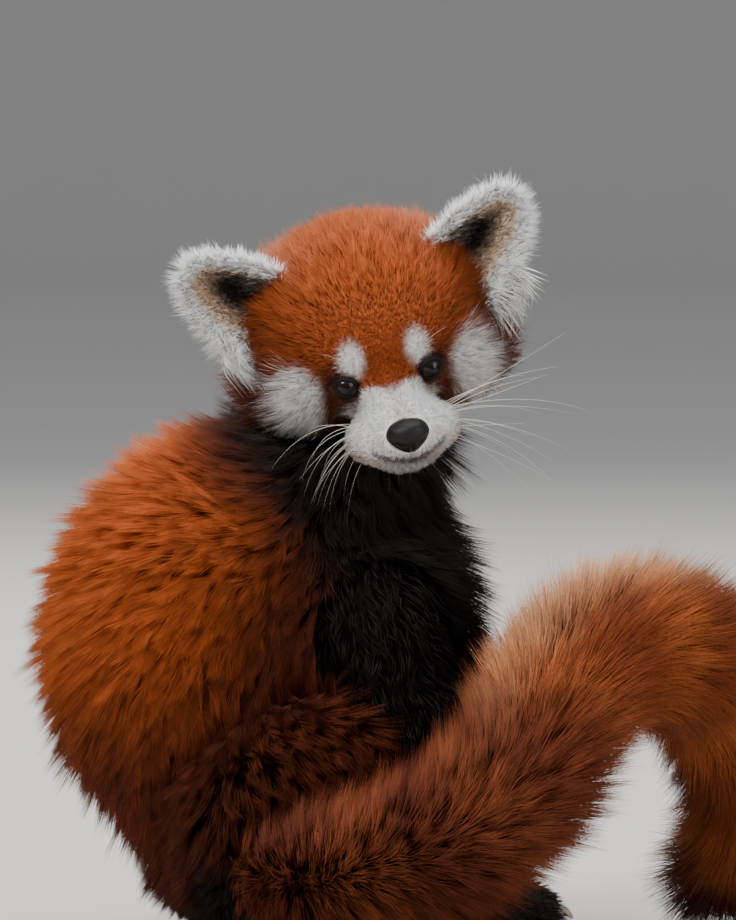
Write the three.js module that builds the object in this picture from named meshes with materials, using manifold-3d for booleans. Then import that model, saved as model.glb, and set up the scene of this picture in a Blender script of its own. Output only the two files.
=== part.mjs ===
// A red panda that sits on its rump with its right flank to the viewer, life size.
// Its head is turned to look over the right shoulder, and its tail comes round the right side.
// Millimetres: X is the way the chest faces, Y is the animal's left, Z is up, and the seat is the origin.
import * as THREE from "three";
import { mergeVertices } from "three/addons/utils/BufferGeometryUtils.js";
import Module from "manifold-3d";

const wasm = await Module();
wasm.setup();

const GAP = 0.3;
const FINISH = {
  rust: { color: 0x9a3f17, roughness: 0.85, metalness: 0 },
  dark: { color: 0x1c1411, roughness: 0.85, metalness: 0 },
  white: { color: 0xe9e4dc, roughness: 0.85, metalness: 0 },
  nose: { color: 0x0f0d0d, roughness: 0.4, metalness: 0 },
  eye: { color: 0x120a06, roughness: 0.1, metalness: 0 },
};

const at = (x, y, z) => new THREE.Vector3(x, y, z);
const mix = THREE.MathUtils.lerp;
const smooth = (x, low, high) => THREE.MathUtils.smoothstep(x, low, high);

// The coat's outer surface, as rough distances from soft round masses of the body.
const TRUNK_CENTRE = at(-35, 0, 140);
const TRUNK_BLEND = 34;
const RIB_BARREL = { centre: at(-62, 0, 150), radii: at(93, 80, 110) };
const PELVIS = { centre: at(-22, 0, 66), radii: at(84, 82, 71) };
const CHEST = { centre: at(6, -4, 166), radii: at(73, 64, 86) };
const NECK = { low: at(-36, 4, 198), high: at(14, -12, 254), lowRadius: 70, highRadius: 51 };
const NECK_CUT = { point: at(-18, 0, 214), normal: at(0.5, -0.05, 0.86).normalize() };

const THIGH = { centre: at(-16, 55, 68), radii: at(68, 35, 70) };
const SHANK = { knee: at(34, 74, 58), heel: at(2, 78, 22), radius: 22 };
const HIND_FOOT = { heel: at(2, 78, 15), toe: at(78, 82, 13), heelRadius: 17, toeRadius: 17 };
const FORELEG = {
  path: [at(14, 42, 168), at(42, 42, 116), at(64, 36, 66), at(76, 33, 26)],
  radii: [38, 30, 23, 19],
};
const FOREPAW = { wrist: at(76, 33, 18), toe: at(98, 33, 13), wristRadius: 19, toeRadius: 17.5 };
const CLAW = { length: 9, radius: 2, spread: 7.2 };

const TAIL_PATH = [
  at(-52, -46, 42),
  at(-10, -92, 42),
  at(38, -108, 56),
  at(66, -110, 72),
  at(90, -106, 96),
  at(108, -92, 128),
  at(128, -76, 150),
  at(152, -58, 154),
  at(177, -32, 142),
  at(199, 2, 106),
  at(206, 30, 62),
  at(190, 60, 27),
];
const TAIL_RADII = [30, 37, 43, 44, 44, 45, 46, 46, 44, 41, 38, 28];
const TAIL_LENGTHS = 4;

// Long coat: how deep the core lies under the tips, and the locks that cover it.
const COAT = { trunk: 12, thigh: 9, tail: 12, cheek: 7 };
const LOCKS = {
  trunk: { directions: 110, length: 66, halfWidth: 23, halfThick: 4.6, core: 12 },
  thigh: { directions: 60, length: 50, halfWidth: 19, halfThick: 3.6, core: 9 },
  tail: { starts: [0.04, 0.27, 0.5], around: 5, length: 56, halfWidth: 19, halfThick: 4.6, core: 12 },
  head: { directions: 84, length: 32, halfWidth: 10, halfThick: 2.8, core: 7 },
  ear: { length: 30, halfWidth: 5.5, halfThick: 1.6 },
};

// The head is built about the point between its eyes: x to the animal's left, y back, z up.
const HEAD = { place: at(23.5, -65, 287.4), pitch: 20.5, yaw: 6, roll: -13 };
const HEAD_CENTRE = at(0, 34, 2);
const HEAD_BLEND = 11;
const CRANIUM = { centre: at(0, 52, 12), radii: at(66, 58, 55) };
const CHEEK = { centre: at(40, 42, -8), radii: at(34, 36, 34) };
const BROW = { centre: at(0, 15, 14), radii: at(33, 22, 25) };
const MUZZLE = { root: at(0, 7, -15), tip: at(0, -34, -18), rootRadius: 21, tipRadius: 14 };
const LIP = { centre: at(13, -22, -22), radii: at(17, 18, 13) };
const CHIN = { centre: at(0, -20, -33), radii: at(15, 16, 9) };
const EYE = { centre: at(21.25, -1.5, 0), radius: 6.5 };
const LID = { ring: 6.9, upper: 1.7, turn: 0.32 };
const NOSE = { centre: at(0, -41, -15), radii: at(10.5, 8, 8.5) };
const NOSTRIL = { centre: at(4.6, -48.5, -16), radii: at(1.5, 3.2, 2.1), tilt: 0.6 };
const MOUTH = { width: 0.7, depth: 2.6, points: [[0, -26], [7, -31], [15, -32], [22, -29], [27, -23]] };
const EAR = {
  base: at(50.5, 48, 28),
  up: at(0.7, 0.04, 0.72).normalize(),
  heights: [-16, 0, 14, 28, 40, 48, 52],
  halfWidths: [25, 26, 24.5, 21, 15.5, 9, 4],
  depths: [16, 17, 15, 11, 7, 4, 2],
  wall: 5,
};

// Distance helpers.
const ellipsoid = (part) => (p) => {
  const q = p.clone().sub(part.centre).divide(part.radii);
  const k0 = q.length();
  const k1 = q.divide(part.radii).length();
  return k1 > 0 ? (k0 * (k0 - 1)) / k1 : -part.radii.x;
};

const capsule = (a, b, ra, rb) => (p) => {
  const ab = b.clone().sub(a);
  const along = p.clone().sub(a).dot(ab) / ab.lengthSq();
  const t = THREE.MathUtils.clamp(along, 0, 1);
  return p.distanceTo(a.clone().addScaledVector(ab, t)) - mix(ra, rb, t);
};

const chain = (points, radii) => {
  const links = points.slice(1).map((b, i) => capsule(points[i], b, radii[i], radii[i + 1]));
  return (p) => Math.min(...links.map((link) => link(p)));
};

const softMin = (a, b, k) => {
  const h = Math.max(k - Math.abs(a - b), 0) / k;
  return Math.min(a, b) - (h * h * k) / 4;
};
const blend = (k, ...fields) => (p) => fields.map((f) => f(p)).reduce((a, b) => softMin(a, b, k));

const mirror = (v) => at(-v.x, v.y, v.z);
const flank = (v, side) => at(v.x, v.y * side, v.z);

function gradient(field, p) {
  const e = 0.5;
  const step = (x, y, z) => field(p.clone().add(at(x, y, z))) - field(p.clone().sub(at(x, y, z)));
  return at(step(e, 0, 0), step(0, e, 0), step(0, 0, e)).normalize();
}

function project(field, p, level) {
  for (let i = 0; i < 8; i++) p.addScaledVector(gradient(field, p), level - field(p));
  return p;
}

function reach(field, from, direction) {
  let t = 1;
  for (let i = 0; i < 300; i++) {
    const f = field(from.clone().addScaledVector(direction, t));
    if (f > -0.01) break;
    t += Math.max(-f * 0.7, 0.01);
  }
  return t;
}

// Mesh helpers.
function solidOf(geometry) {
  const bare = geometry.index ? geometry.toNonIndexed() : geometry;
  const only = new THREE.BufferGeometry().setAttribute("position", bare.getAttribute("position"));
  const merged = mergeVertices(only, 1e-3);
  return new wasm.Manifold(
    new wasm.Mesh({
      numProp: 3,
      vertProperties: new Float32Array(merged.attributes.position.array),
      triVerts: new Uint32Array(merged.index.array),
    }),
  );
}

function geometryOf(solid) {
  const mesh = solid.getMesh();
  return new THREE.BufferGeometry()
    .setAttribute("position", new THREE.BufferAttribute(mesh.vertProperties, 3))
    .setIndex(new THREE.BufferAttribute(mesh.triVerts, 1));
}

function largest(solid) {
  const bodies = solid.decompose();
  return bodies.sort((a, b) => b.volume() - a.volume())[0];
}

// A round mass whose skin is where the field meets a level, seen along rays from its centre.
function blob(field, centre, detail, inset = () => 0) {
  const ball = mergeVertices(
    new THREE.IcosahedronGeometry(1, detail).deleteAttribute("normal").deleteAttribute("uv"),
  );
  const position = ball.attributes.position;
  for (let i = 0; i < position.count; i++) {
    const direction = at(0, 0, 0).fromBufferAttribute(position, i).normalize();
    const p = centre.clone().addScaledVector(direction, reach(field, centre, direction));
    const q = p.clone().addScaledVector(direction, -inset(p));
    position.setXYZ(i, q.x, q.y, q.z);
  }
  return solidOf(ball);
}

// Rings of the same number of points joined in order and closed at both ends.
function loft(rings) {
  const n = rings[0].length;
  const points = rings.flat();
  const ends = [rings[0], rings[rings.length - 1]];
  for (const ring of ends) points.push(ring.reduce((s, p) => s.add(p), at(0, 0, 0)).divideScalar(n));
  const first = points.length - 2;
  const index = [];
  for (let r = 0; r + 1 < rings.length; r++)
    for (let i = 0; i < n; i++) {
      const j = (i + 1) % n;
      const [a, b, c, d] = [r * n + i, r * n + j, (r + 1) * n + i, (r + 1) * n + j];
      index.push(a, b, d, a, d, c);
    }
  const last = (rings.length - 1) * n;
  for (let i = 0; i < n; i++) {
    const j = (i + 1) % n;
    index.push(first, j, i);
    index.push(first + 1, last + i, last + j);
  }
  const geometry = new THREE.BufferGeometry().setFromPoints(points);
  geometry.setIndex(index);
  const solid = solidOf(geometry);
  if (solid.volume() > 0) return solid;
  for (let i = 0; i < index.length; i += 3) [index[i], index[i + 1]] = [index[i + 1], index[i]];
  geometry.setIndex(index);
  return solidOf(geometry);
}

// A round limb or tail length along a curve, from one fraction of it to another.
function tube(path, radii, from, to, steps, sides, grow = 0) {
  const curve = new THREE.CatmullRomCurve3(path);
  const frames = curve.computeFrenetFrames(200);
  const rings = [];
  const radiusAt = (t) => {
    const s = t * (radii.length - 1);
    const i = Math.min(Math.floor(s), radii.length - 2);
    return mix(radii[i], radii[i + 1], s - i) + grow;
  };
  for (let i = 0; i <= steps; i++) {
    const t = mix(from, to, i / steps);
    const k = Math.round(t * 200);
    const centre = curve.getPoint(curve.getUtoTmapping(t));
    const ring = [];
    for (let j = 0; j < sides; j++) {
      const angle = (2 * Math.PI * j) / sides;
      const out = frames.normals[k].clone().multiplyScalar(Math.cos(angle));
      out.addScaledVector(frames.binormals[k], Math.sin(angle));
      ring.push(centre.clone().addScaledVector(out, radiusAt(t)));
    }
    rings.push(ring);
  }
  return loft(rings);
}

// A flat tapered lock, rooted in the core and bent along the lie of the coat up to its surface.
function lock(hull, root, lie, size) {
  let p = project(hull, root.clone(), 0);
  const stations = [
    { width: 0.75, thick: 1, depth: size.core + 2 },
    { width: 1, thick: 1.1, depth: size.core * 0.62 },
    { width: 0.12, thick: 0.12, depth: 1.2 },
  ];
  const rings = stations.map(({ width, thick, depth }, i) => {
    const out = gradient(hull, p);
    const way = lie(p).projectOnPlane(out).normalize();
    const across = out.clone().cross(way);
    const w = size.halfWidth * width;
    const h = size.halfThick * thick;
    const spot = (side, lift) => project(hull, p.clone().addScaledVector(across, side * w), lift - depth);
    const ring = [spot(-1, 0), spot(0, h), spot(1, 0), spot(0, -h)];
    if (i + 1 < stations.length) p = project(hull, p.addScaledVector(way, size.length / 2), 0);
    return ring;
  });
  return { solid: loft(rings), tip: p };
}

// Roots spread evenly over a round mass, where none of the neighbours covers them.
function spread(count, hull, centre, open) {
  const golden = Math.PI * (3 - Math.sqrt(5));
  const roots = [];
  for (let i = 0; i < count; i++) {
    const z = 1 - (2 * i + 1) / count;
    const r = Math.sqrt(1 - z * z);
    const direction = at(r * Math.cos(golden * i), r * Math.sin(golden * i), z);
    const p = centre.clone().addScaledVector(direction, reach(hull, centre, direction));
    if (open(p)) roots.push(p);
  }
  return roots;
}

const block = (low, high) => {
  const size = high.clone().sub(low);
  const box = new THREE.BoxGeometry(size.x, size.y, size.z);
  box.translate(...high.clone().add(low).multiplyScalar(0.5).toArray());
  return solidOf(box);
};
const FLOOR = block(at(-600, -600, -400), at(600, 600, 0));

// Half of space on the far side of a plane, as a big box turned to it.
function halfSpace(plane, offset) {
  const box = new THREE.BoxGeometry(900, 900, 900).translate(0, 0, 450);
  const turn = new THREE.Quaternion().setFromUnitVectors(at(0, 0, 1), plane.normal);
  const place = plane.point.clone().addScaledVector(plane.normal, offset);
  box.applyMatrix4(new THREE.Matrix4().compose(place, turn, at(1, 1, 1)));
  return solidOf(box);
}

const union = (solids) => solids.reduce((a, b) => a.add(b));

// The fields of the parts, each grown a little where its neighbours are cut clear of it.
const trunkField = blend(
  TRUNK_BLEND,
  ellipsoid(RIB_BARREL),
  ellipsoid(PELVIS),
  ellipsoid(CHEST),
  capsule(NECK.low, NECK.high, NECK.lowRadius, NECK.highRadius),
);
const thighField = (side) => {
  const thigh = ellipsoid({ centre: flank(THIGH.centre, side), radii: THIGH.radii });
  const shank = capsule(flank(SHANK.knee, side), flank(SHANK.heel, side), SHANK.radius, 18);
  return blend(16, thigh, shank);
};
const armField = (side) => chain(FORELEG.path.map((p) => flank(p, side)), FORELEG.radii);
const tailField = chain(TAIL_PATH, TAIL_RADII);
const grown = (field, by) => (p) => field(p) - by;

const headField = blend(
  HEAD_BLEND,
  ellipsoid(CRANIUM),
  ellipsoid(CHEEK),
  ellipsoid({ centre: mirror(CHEEK.centre), radii: CHEEK.radii }),
  ellipsoid(BROW),
  capsule(MUZZLE.root, MUZZLE.tip, MUZZLE.rootRadius, MUZZLE.tipRadius),
  ellipsoid(LIP),
  ellipsoid({ centre: mirror(LIP.centre), radii: LIP.radii }),
  ellipsoid(CHIN),
);
const radians = THREE.MathUtils.degToRad;
const headTurn = new THREE.Euler(radians(HEAD.pitch), radians(HEAD.roll), radians(HEAD.yaw), "YZX");
const headMatrix = new THREE.Matrix4().compose(
  HEAD.place,
  new THREE.Quaternion().setFromEuler(headTurn),
  at(1, 1, 1),
);
const placed = (solid) => solidOf(geometryOf(solid).applyMatrix4(headMatrix));
const toHead = headMatrix.clone().invert();
const headFieldInBody = (p) => headField(p.clone().applyMatrix4(toHead));

// Claws stand in a fan at the front of a paw.
function claws(paw, from, to, radius) {
  const forward = to.clone().sub(from).normalize();
  const across = at(0, 0, 1).cross(forward).normalize();
  const out = [];
  for (let i = -2; i <= 2; i++) {
    const root = to.clone().addScaledVector(across, i * CLAW.spread);
    root.addScaledVector(forward, radius - 4 - Math.abs(i) * 1.6);
    root.z = 7;
    const tip = root.clone().addScaledVector(forward, CLAW.length).setZ(2.6);
    const rings = [0, 0.5, 1].map((t) => {
      const centre = root.clone().lerp(tip, t);
      centre.z += 2 * Math.sin(Math.PI * t);
      const r = mix(CLAW.radius, 0.5, t);
      return [0, 1, 2, 3].map((k) => {
        const angle = (Math.PI * k) / 2;
        const ring = centre.clone().addScaledVector(across, r * Math.cos(angle));
        return ring.addScaledVector(at(0, 0, 1), r * Math.sin(angle));
      });
    });
    out.push(loft(rings));
  }
  return union([paw, ...out]);
}

function paw(from, to, fromRadius, toRadius, detail, grow = 0) {
  const field = capsule(from, to, fromRadius + grow, toRadius + grow);
  return blob(field, from.clone().lerp(to, 0.6), detail);
}

function hindLeg(side, grow = 0) {
  const hull = grown(thighField(side), grow);
  const bare = (p) => COAT.thigh * smooth(trunkField(p), 0, 18) * smooth(p.z, 30, 60);
  const thigh = blob(hull, flank(THIGH.centre, side), 4, grow ? undefined : bare);
  const [heel, toe] = [flank(HIND_FOOT.heel, side), flank(HIND_FOOT.toe, side)];
  const foot = paw(heel, toe, HIND_FOOT.heelRadius, HIND_FOOT.toeRadius, 2, grow);
  if (grow) return thigh.add(foot);
  return thigh.add(claws(foot, heel, toe, HIND_FOOT.toeRadius));
}

function foreleg(side, grow = 0) {
  const path = FORELEG.path.map((p) => flank(p, side));
  const arm = tube(path, FORELEG.radii, 0, 1, 6, 12, grow);
  const [wrist, toe] = [flank(FOREPAW.wrist, side), flank(FOREPAW.toe, side)];
  const hand = paw(wrist, toe, FOREPAW.wristRadius, FOREPAW.toeRadius, 2, grow);
  if (grow) return arm.add(hand);
  return arm.add(claws(hand, wrist, toe, FOREPAW.toeRadius));
}

// The head with its lids, mouth line and sockets, in its own frame.
function lidRing(side) {
  const ring = new THREE.TorusGeometry(LID.ring, LID.upper, 5, 12);
  ring.rotateX(Math.PI / 2);
  ring.rotateZ(side * LID.turn);
  ring.translate(side * EYE.centre.x, EYE.centre.y - 2.6, EYE.centre.z);
  return solidOf(ring);
}

function mouthLine() {
  const half = MOUTH.points.map(([x, z]) => at(x, -60, z));
  const line = [...half.slice(1).reverse().map(mirror), ...half];
  const rings = line.map((p, i) => {
    const from = at(p.x * 0.3, 0, p.z);
    const direction = p.clone().setY(p.y + Math.abs(p.x) * 1.4).sub(from).normalize();
    const surface = from.clone().addScaledVector(direction, reach(headField, from, direction));
    const inner = surface.clone().addScaledVector(direction, -MOUTH.depth);
    const outer = surface.clone().addScaledVector(direction, 2);
    const up = at(0, 0, MOUTH.width / 2);
    return [inner.clone().sub(up), outer.clone().sub(up), outer.clone().add(up), inner.clone().add(up)];
  });
  return loft(rings);
}

const eyeBall = (side, grow = 0) => {
  const ball = new THREE.IcosahedronGeometry(EYE.radius + grow, 2);
  ball.translate(side * EYE.centre.x, EYE.centre.y, EYE.centre.z);
  return solidOf(ball.deleteAttribute("normal").deleteAttribute("uv"));
};

function nosePad(grow = 0) {
  const radii = NOSE.radii.clone().addScalar(grow);
  const pad = new THREE.IcosahedronGeometry(1, 2).scale(radii.x, radii.y, radii.z);
  pad.translate(...NOSE.centre.toArray());
  const solid = solidOf(pad.deleteAttribute("normal").deleteAttribute("uv"));
  if (grow) return solid;
  const holes = [1, -1].map((side) => {
    const hole = new THREE.IcosahedronGeometry(1, 1);
    hole.scale(NOSTRIL.radii.x, NOSTRIL.radii.y, NOSTRIL.radii.z);
    hole.rotateY(side * NOSTRIL.tilt);
    hole.translate(side * NOSTRIL.centre.x, NOSTRIL.centre.y, NOSTRIL.centre.z);
    return solidOf(hole.deleteAttribute("normal").deleteAttribute("uv"));
  });
  return holes.reduce((a, b) => a.subtract(b), solid);
}

const headHull = (grow = 0) => blob(grown(headField, grow), HEAD_CENTRE, 7);
const cheekFur = (p) => smooth(Math.abs(p.x), 34, 60) * smooth(p.y, 12, 34) * (1 - smooth(p.z, -4, 10));
const headCore = () => blob(headField, HEAD_CENTRE, 7, (p) => COAT.cheek * cheekFur(p));

function headSolid() {
  let head = union([headCore(), lidRing(1), lidRing(-1), ...headLocks()]);
  head = head.subtract(mouthLine());
  for (const side of [1, -1]) head = head.subtract(eyeBall(side, GAP));
  return largest(head.subtract(nosePad(GAP)));
}

// An ear is a cup open to the front, a crescent in section from its base to its tip.
function ear(side) {
  const across = at(EAR.up.z, 0, -EAR.up.x);
  const rings = EAR.heights.map((height, i) => {
    const centre = EAR.base.clone().addScaledVector(EAR.up, height);
    const [w, d] = [EAR.halfWidths[i], EAR.depths[i]];
    const outer = [];
    const inner = [];
    for (let k = 0; k <= 6; k++) {
      const angle = (-Math.PI / 2) + (Math.PI * k) / 6;
      const back = d * Math.cos(angle);
      outer.push(centre.clone().addScaledVector(across, w * Math.sin(angle)).add(at(0, back, 0)));
      const rim = w - Math.min(EAR.wall, w * 0.5);
      const front = back * 0.55 - EAR.wall * 0.5;
      inner.push(centre.clone().addScaledVector(across, rim * Math.sin(angle)).add(at(0, front, 0)));
    }
    return [...outer, ...inner.reverse()].map((p) => (side > 0 ? p : mirror(p)));
  });
  return loft(rings);
}

// The lie of the coat: round the back from nape to rump, down the chest and limbs, along the tail.
const BACK_TURN = at(-40, 0, 130);
const trunkLie = (p) => {
  const round = at(-(p.z - BACK_TURN.z), 0, p.x - BACK_TURN.x).divideScalar(90);
  const down = at(0.15, 0, -1);
  return round.multiplyScalar(1 - smooth(p.x, -50, 20)).add(down.multiplyScalar(0.5 + smooth(p.x, -50, 20)));
};
const thighLie = () => at(0.45, 0, -0.9);
const headLie = (p) => at(p.x, p.y + 50, p.z + 10).normalize();
const tailCurve = new THREE.CatmullRomCurve3(TAIL_PATH);
const TAIL_SAMPLES = 120;
const tailPoints = tailCurve.getSpacedPoints(TAIL_SAMPLES);
const tailLie = (p) => {
  const gaps = tailPoints.map((q) => q.distanceTo(p));
  const i = gaps.indexOf(Math.min(...gaps));
  return tailCurve.getTangentAt(i / TAIL_SAMPLES);
};

// Locks of each part. Those whose tips would run into a neighbour are left out.
const limbFields = [-1, 1].flatMap((side) => [thighField(side), armField(side)]);
const besideTrunk = [...limbFields, tailField, headFieldInBody];
const clearOf = (fields, p) => Math.min(Infinity, ...fields.map((field) => field(p)));
const MARGIN = 5;

function locksOn(hull, roots, lie, size, neighbours, cut = () => true) {
  return roots
    .map((root) => lock(hull, root, lie, size))
    .filter(({ tip }) => clearOf(neighbours, tip) > MARGIN && tip.z > MARGIN && cut(tip))
    .map(({ solid }) => solid);
}

const trunkOpen = (p) => clearOf(besideTrunk, p) > MARGIN && p.z > 16;
const trunkRoots = spread(LOCKS.trunk.directions, trunkField, TRUNK_CENTRE, trunkOpen);
const pastCut = (p) => p.clone().sub(NECK_CUT.point).dot(NECK_CUT.normal);
const torsoLocks = locksOn(
  trunkField,
  trunkRoots.filter((p) => pastCut(p) < -10),
  trunkLie,
  LOCKS.trunk,
  besideTrunk,
);
const neckLocks = locksOn(
  trunkField,
  trunkRoots.filter((p) => pastCut(p) > 4),
  trunkLie,
  LOCKS.trunk,
  besideTrunk,
);

function thighLocks(side) {
  const hull = thighField(side);
  const beside = [trunkField, armField(side), tailField];
  const open = (p) => clearOf(beside, p) > -2 && p.z > 40;
  const roots = spread(LOCKS.thigh.directions, hull, flank(THIGH.centre, side), open);
  return locksOn(hull, roots, thighLie, LOCKS.thigh, []);
}

function headLocks() {
  const open = (p) => cheekFur(p) > 0.3 && p.y < 70;
  const roots = spread(LOCKS.head.directions, headField, HEAD_CENTRE, open);
  return roots.map((root) => lock(headField, root, headLie, LOCKS.head).solid);
}

// White locks hang from the outer foot of each ear.
function earLocks(side) {
  const across = at(EAR.up.z, 0, -EAR.up.x);
  return [0, 1, 2].map((i) => {
    const root = EAR.base.clone().addScaledVector(across, EAR.halfWidths[1] - 5);
    root.addScaledVector(EAR.up, 14 - i * 8);
    const way = at(0.55 - i * 0.12, -0.12, -0.8).normalize();
    const flat = way.clone().cross(at(0, 1, 0)).normalize();
    const rings = [0, 0.5, 1].map((t) => {
      const centre = root.clone().addScaledVector(way, LOCKS.ear.length * t);
      const w = LOCKS.ear.halfWidth * (t < 1 ? 1 : 0.15);
      const h = LOCKS.ear.halfThick * (1 - 0.8 * t);
      const spots = [flat.clone().multiplyScalar(-w), at(0, h, 0), flat.clone().multiplyScalar(w), at(0, -h, 0)];
      return spots.map((spot) => spot.add(centre)).map((p) => (side > 0 ? p : mirror(p)));
    });
    return loft(rings);
  });
}

function tailLocks(index) {
  const locks = [];
  for (const [ring, start] of LOCKS.tail.starts.entries())
    for (let k = 0; k < LOCKS.tail.around; k++) {
      const along = (index + start) / TAIL_LENGTHS;
      const angle = (2 * Math.PI * (k + (ring % 2) / 2)) / LOCKS.tail.around;
      const tangent = tailCurve.getTangentAt(along);
      const across = tangent.clone().cross(at(0, 0, 1)).normalize();
      const up = across.clone().cross(tangent);
      const out = across.multiplyScalar(Math.cos(angle)).addScaledVector(up, Math.sin(angle));
      const root = tailCurve.getPointAt(along).addScaledVector(out, 30);
      if (along < 0.92 && root.z > 6) locks.push(root);
    }
  const roots = locks.map((root) => project(tailField, root, 0));
  return locksOn(tailField, roots, tailLie, LOCKS.tail, [trunkField, ...limbFields]);
}

// Everything put together, each part cut clear of what it rests against.
const above = halfSpace(NECK_CUT, GAP / 2);
const below = halfSpace({ point: NECK_CUT.point, normal: NECK_CUT.normal.clone().negate() }, GAP / 2);
const limbHulls = [-1, 1].flatMap((side) => [hindLeg(side, GAP), foreleg(side, GAP)]);
const clear = (solid, others) => others.reduce((a, b) => a.subtract(b), solid);

const trunkBare = (p) => COAT.trunk * smooth(clearOf(besideTrunk, p), 0, 20) * smooth(p.z, 4, 50);
const trunkCore = blob(trunkField, TRUNK_CENTRE, 5, trunkBare);
const trunkSpace = blob(grown(trunkField, GAP), TRUNK_CENTRE, 5);
const headSpace = placed(headHull(GAP));
const torso = union([trunkCore.intersect(below), ...torsoLocks]).intersect(below);
const neck = union([trunkCore.intersect(above), ...neckLocks]).intersect(above);

const part = new THREE.Group();
function add(name, solid, finish, group = part) {
  const mesh = new THREE.Mesh(geometryOf(largest(solid)), new THREE.MeshStandardMaterial(FINISH[finish]));
  mesh.name = name;
  group.add(mesh);
}

add("torso", clear(torso, [...limbHulls, headSpace, FLOOR]), "rust");
add("neck", clear(neck, [...limbHulls, headSpace]), "dark");
for (const [side, word] of [[1, "left"], [-1, "right"]]) {
  const hind = union([hindLeg(side), ...thighLocks(side)]);
  const fore = clear(foreleg(side), [hindLeg(side, GAP), FLOOR]);
  add("hind_leg_" + word, clear(hind, [FLOOR]), "dark");
  add("foreleg_" + word, fore, "dark");
}

// Each length of tail ends in a flat face against the next, and the last lies on the floor.
for (let i = 0; i < TAIL_LENGTHS; i++) {
  const shift = GAP / 2 / tailCurve.getLength();
  const from = i / TAIL_LENGTHS + (i ? shift : 0);
  const to = (i + 1) / TAIL_LENGTHS - (i + 1 < TAIL_LENGTHS ? shift : 0);
  const radii = TAIL_RADII.map((r, k) => r - COAT.tail * (1 - smooth(k, 9.5, 11)));
  const length = union([tube(TAIL_PATH, radii, from, to, 5, 14), ...tailLocks(i)]);
  add("tail_" + (i + 1), clear(length, [trunkSpace, ...limbHulls, FLOOR]), "rust");
}

const headGroup = new THREE.Group();
headGroup.position.copy(HEAD.place);
headGroup.rotation.copy(headTurn);
part.add(headGroup);
add("head", headSolid(), "rust", headGroup);
add("nose", nosePad(), "nose", headGroup);
for (const [side, word] of [[1, "left"], [-1, "right"]]) {
  add("eye_" + word, eyeBall(side), "eye", headGroup);
  const cup = union([ear(side), ...earLocks(side)]);
  add("ear_" + word, cup.subtract(headHull(GAP)), "white", headGroup);
}

export default part;
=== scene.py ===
# A grown red panda at life size, sitting on the floor with its head turned over its right shoulder.
# Metres, with X the way the chest faces, Y the animal's left and Z up.
import math

import bmesh
import bpy
import numpy as np
from mathutils import Matrix, Vector
from mathutils.kdtree import KDTree


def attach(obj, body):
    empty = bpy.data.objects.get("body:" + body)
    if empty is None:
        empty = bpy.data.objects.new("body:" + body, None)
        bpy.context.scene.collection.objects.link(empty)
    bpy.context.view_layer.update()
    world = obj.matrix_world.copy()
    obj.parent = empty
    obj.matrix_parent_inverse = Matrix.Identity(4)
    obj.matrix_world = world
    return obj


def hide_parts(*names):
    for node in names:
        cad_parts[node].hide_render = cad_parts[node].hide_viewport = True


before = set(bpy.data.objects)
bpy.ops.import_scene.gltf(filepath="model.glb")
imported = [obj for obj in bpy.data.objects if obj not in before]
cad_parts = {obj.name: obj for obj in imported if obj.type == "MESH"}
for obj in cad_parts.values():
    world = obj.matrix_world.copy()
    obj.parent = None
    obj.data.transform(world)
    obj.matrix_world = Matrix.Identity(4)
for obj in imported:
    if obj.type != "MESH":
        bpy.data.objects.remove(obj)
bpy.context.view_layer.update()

# The body under the coat
# One hide runs over trunk, limbs, tail and head. Each mass is a round form as wide as the coat's
# outer surface, and the hide lies under it by the length of the fur there.
MM = 0.001
RIB_BARREL = ((-62, 0, 150), (93, 80, 110))
PELVIS = ((-22, 0, 66), (84, 82, 71))
CHEST = ((6, -4, 166), (73, 64, 86))
NECK = ((-36, 4, 198), (14, -12, 254), 70, 51)
TRUNK_BLEND = 0.034
THIGH = ((-16, 55, 68), (68, 35, 70))
SHANK = ((34, 74, 58), (2, 78, 22), 22, 18)
HIND_FOOT = ((2, 78, 15), (78, 82, 13), 17, 17)
FORELEG = ((14, 42, 168), (42, 42, 116), (64, 36, 66), (76, 33, 26))
FORELEG_RADII = (38, 30, 23, 19)
FOREPAW = ((76, 33, 18), (98, 33, 13), 19, 17.5)
TOE_SPREAD = 6.4
TAIL_POINTS = (
    (-52, -46, 42),
    (-10, -92, 42),
    (38, -108, 56),
    (66, -110, 72),
    (90, -106, 96),
    (108, -92, 128),
    (128, -76, 150),
    (152, -58, 154),
    (177, -32, 142),
    (199, 2, 106),
    (206, 30, 62),
    (190, 60, 27),
)
TAIL_RADII = (30, 37, 43, 44, 44, 45, 46, 46, 44, 41, 38, 28)


def metres(values):
    return np.array(values, dtype=float) * MM


def ellipsoid(p, mass):
    centre, radii = metres(mass[0]), metres(mass[1])
    q = (p - centre) / radii
    k0 = np.linalg.norm(q, axis=1)
    k1 = np.linalg.norm(q / radii, axis=1)
    return k0 * (k0 - 1) / np.maximum(k1, 1e-6)


def capsule(p, mass):
    a, b, ra, rb = metres(mass[0]), metres(mass[1]), mass[2] * MM, mass[3] * MM
    ab = b - a
    t = np.clip((p - a) @ ab / (ab @ ab), 0, 1)
    return np.linalg.norm(p - a - t[:, None] * ab, axis=1) - (ra + (rb - ra) * t)


def soft_min(a, b, k):
    h = np.maximum(k - np.abs(a - b), 0) / k
    return np.minimum(a, b) - h * h * k / 4


def ramp(x, low, high):
    t = np.clip((x - low) / (high - low), 0, 1)
    return t * t * (3 - 2 * t)


def mirrored(mass):
    return tuple((m[0], -m[1], m[2]) if isinstance(m, tuple) else m for m in mass)


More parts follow.
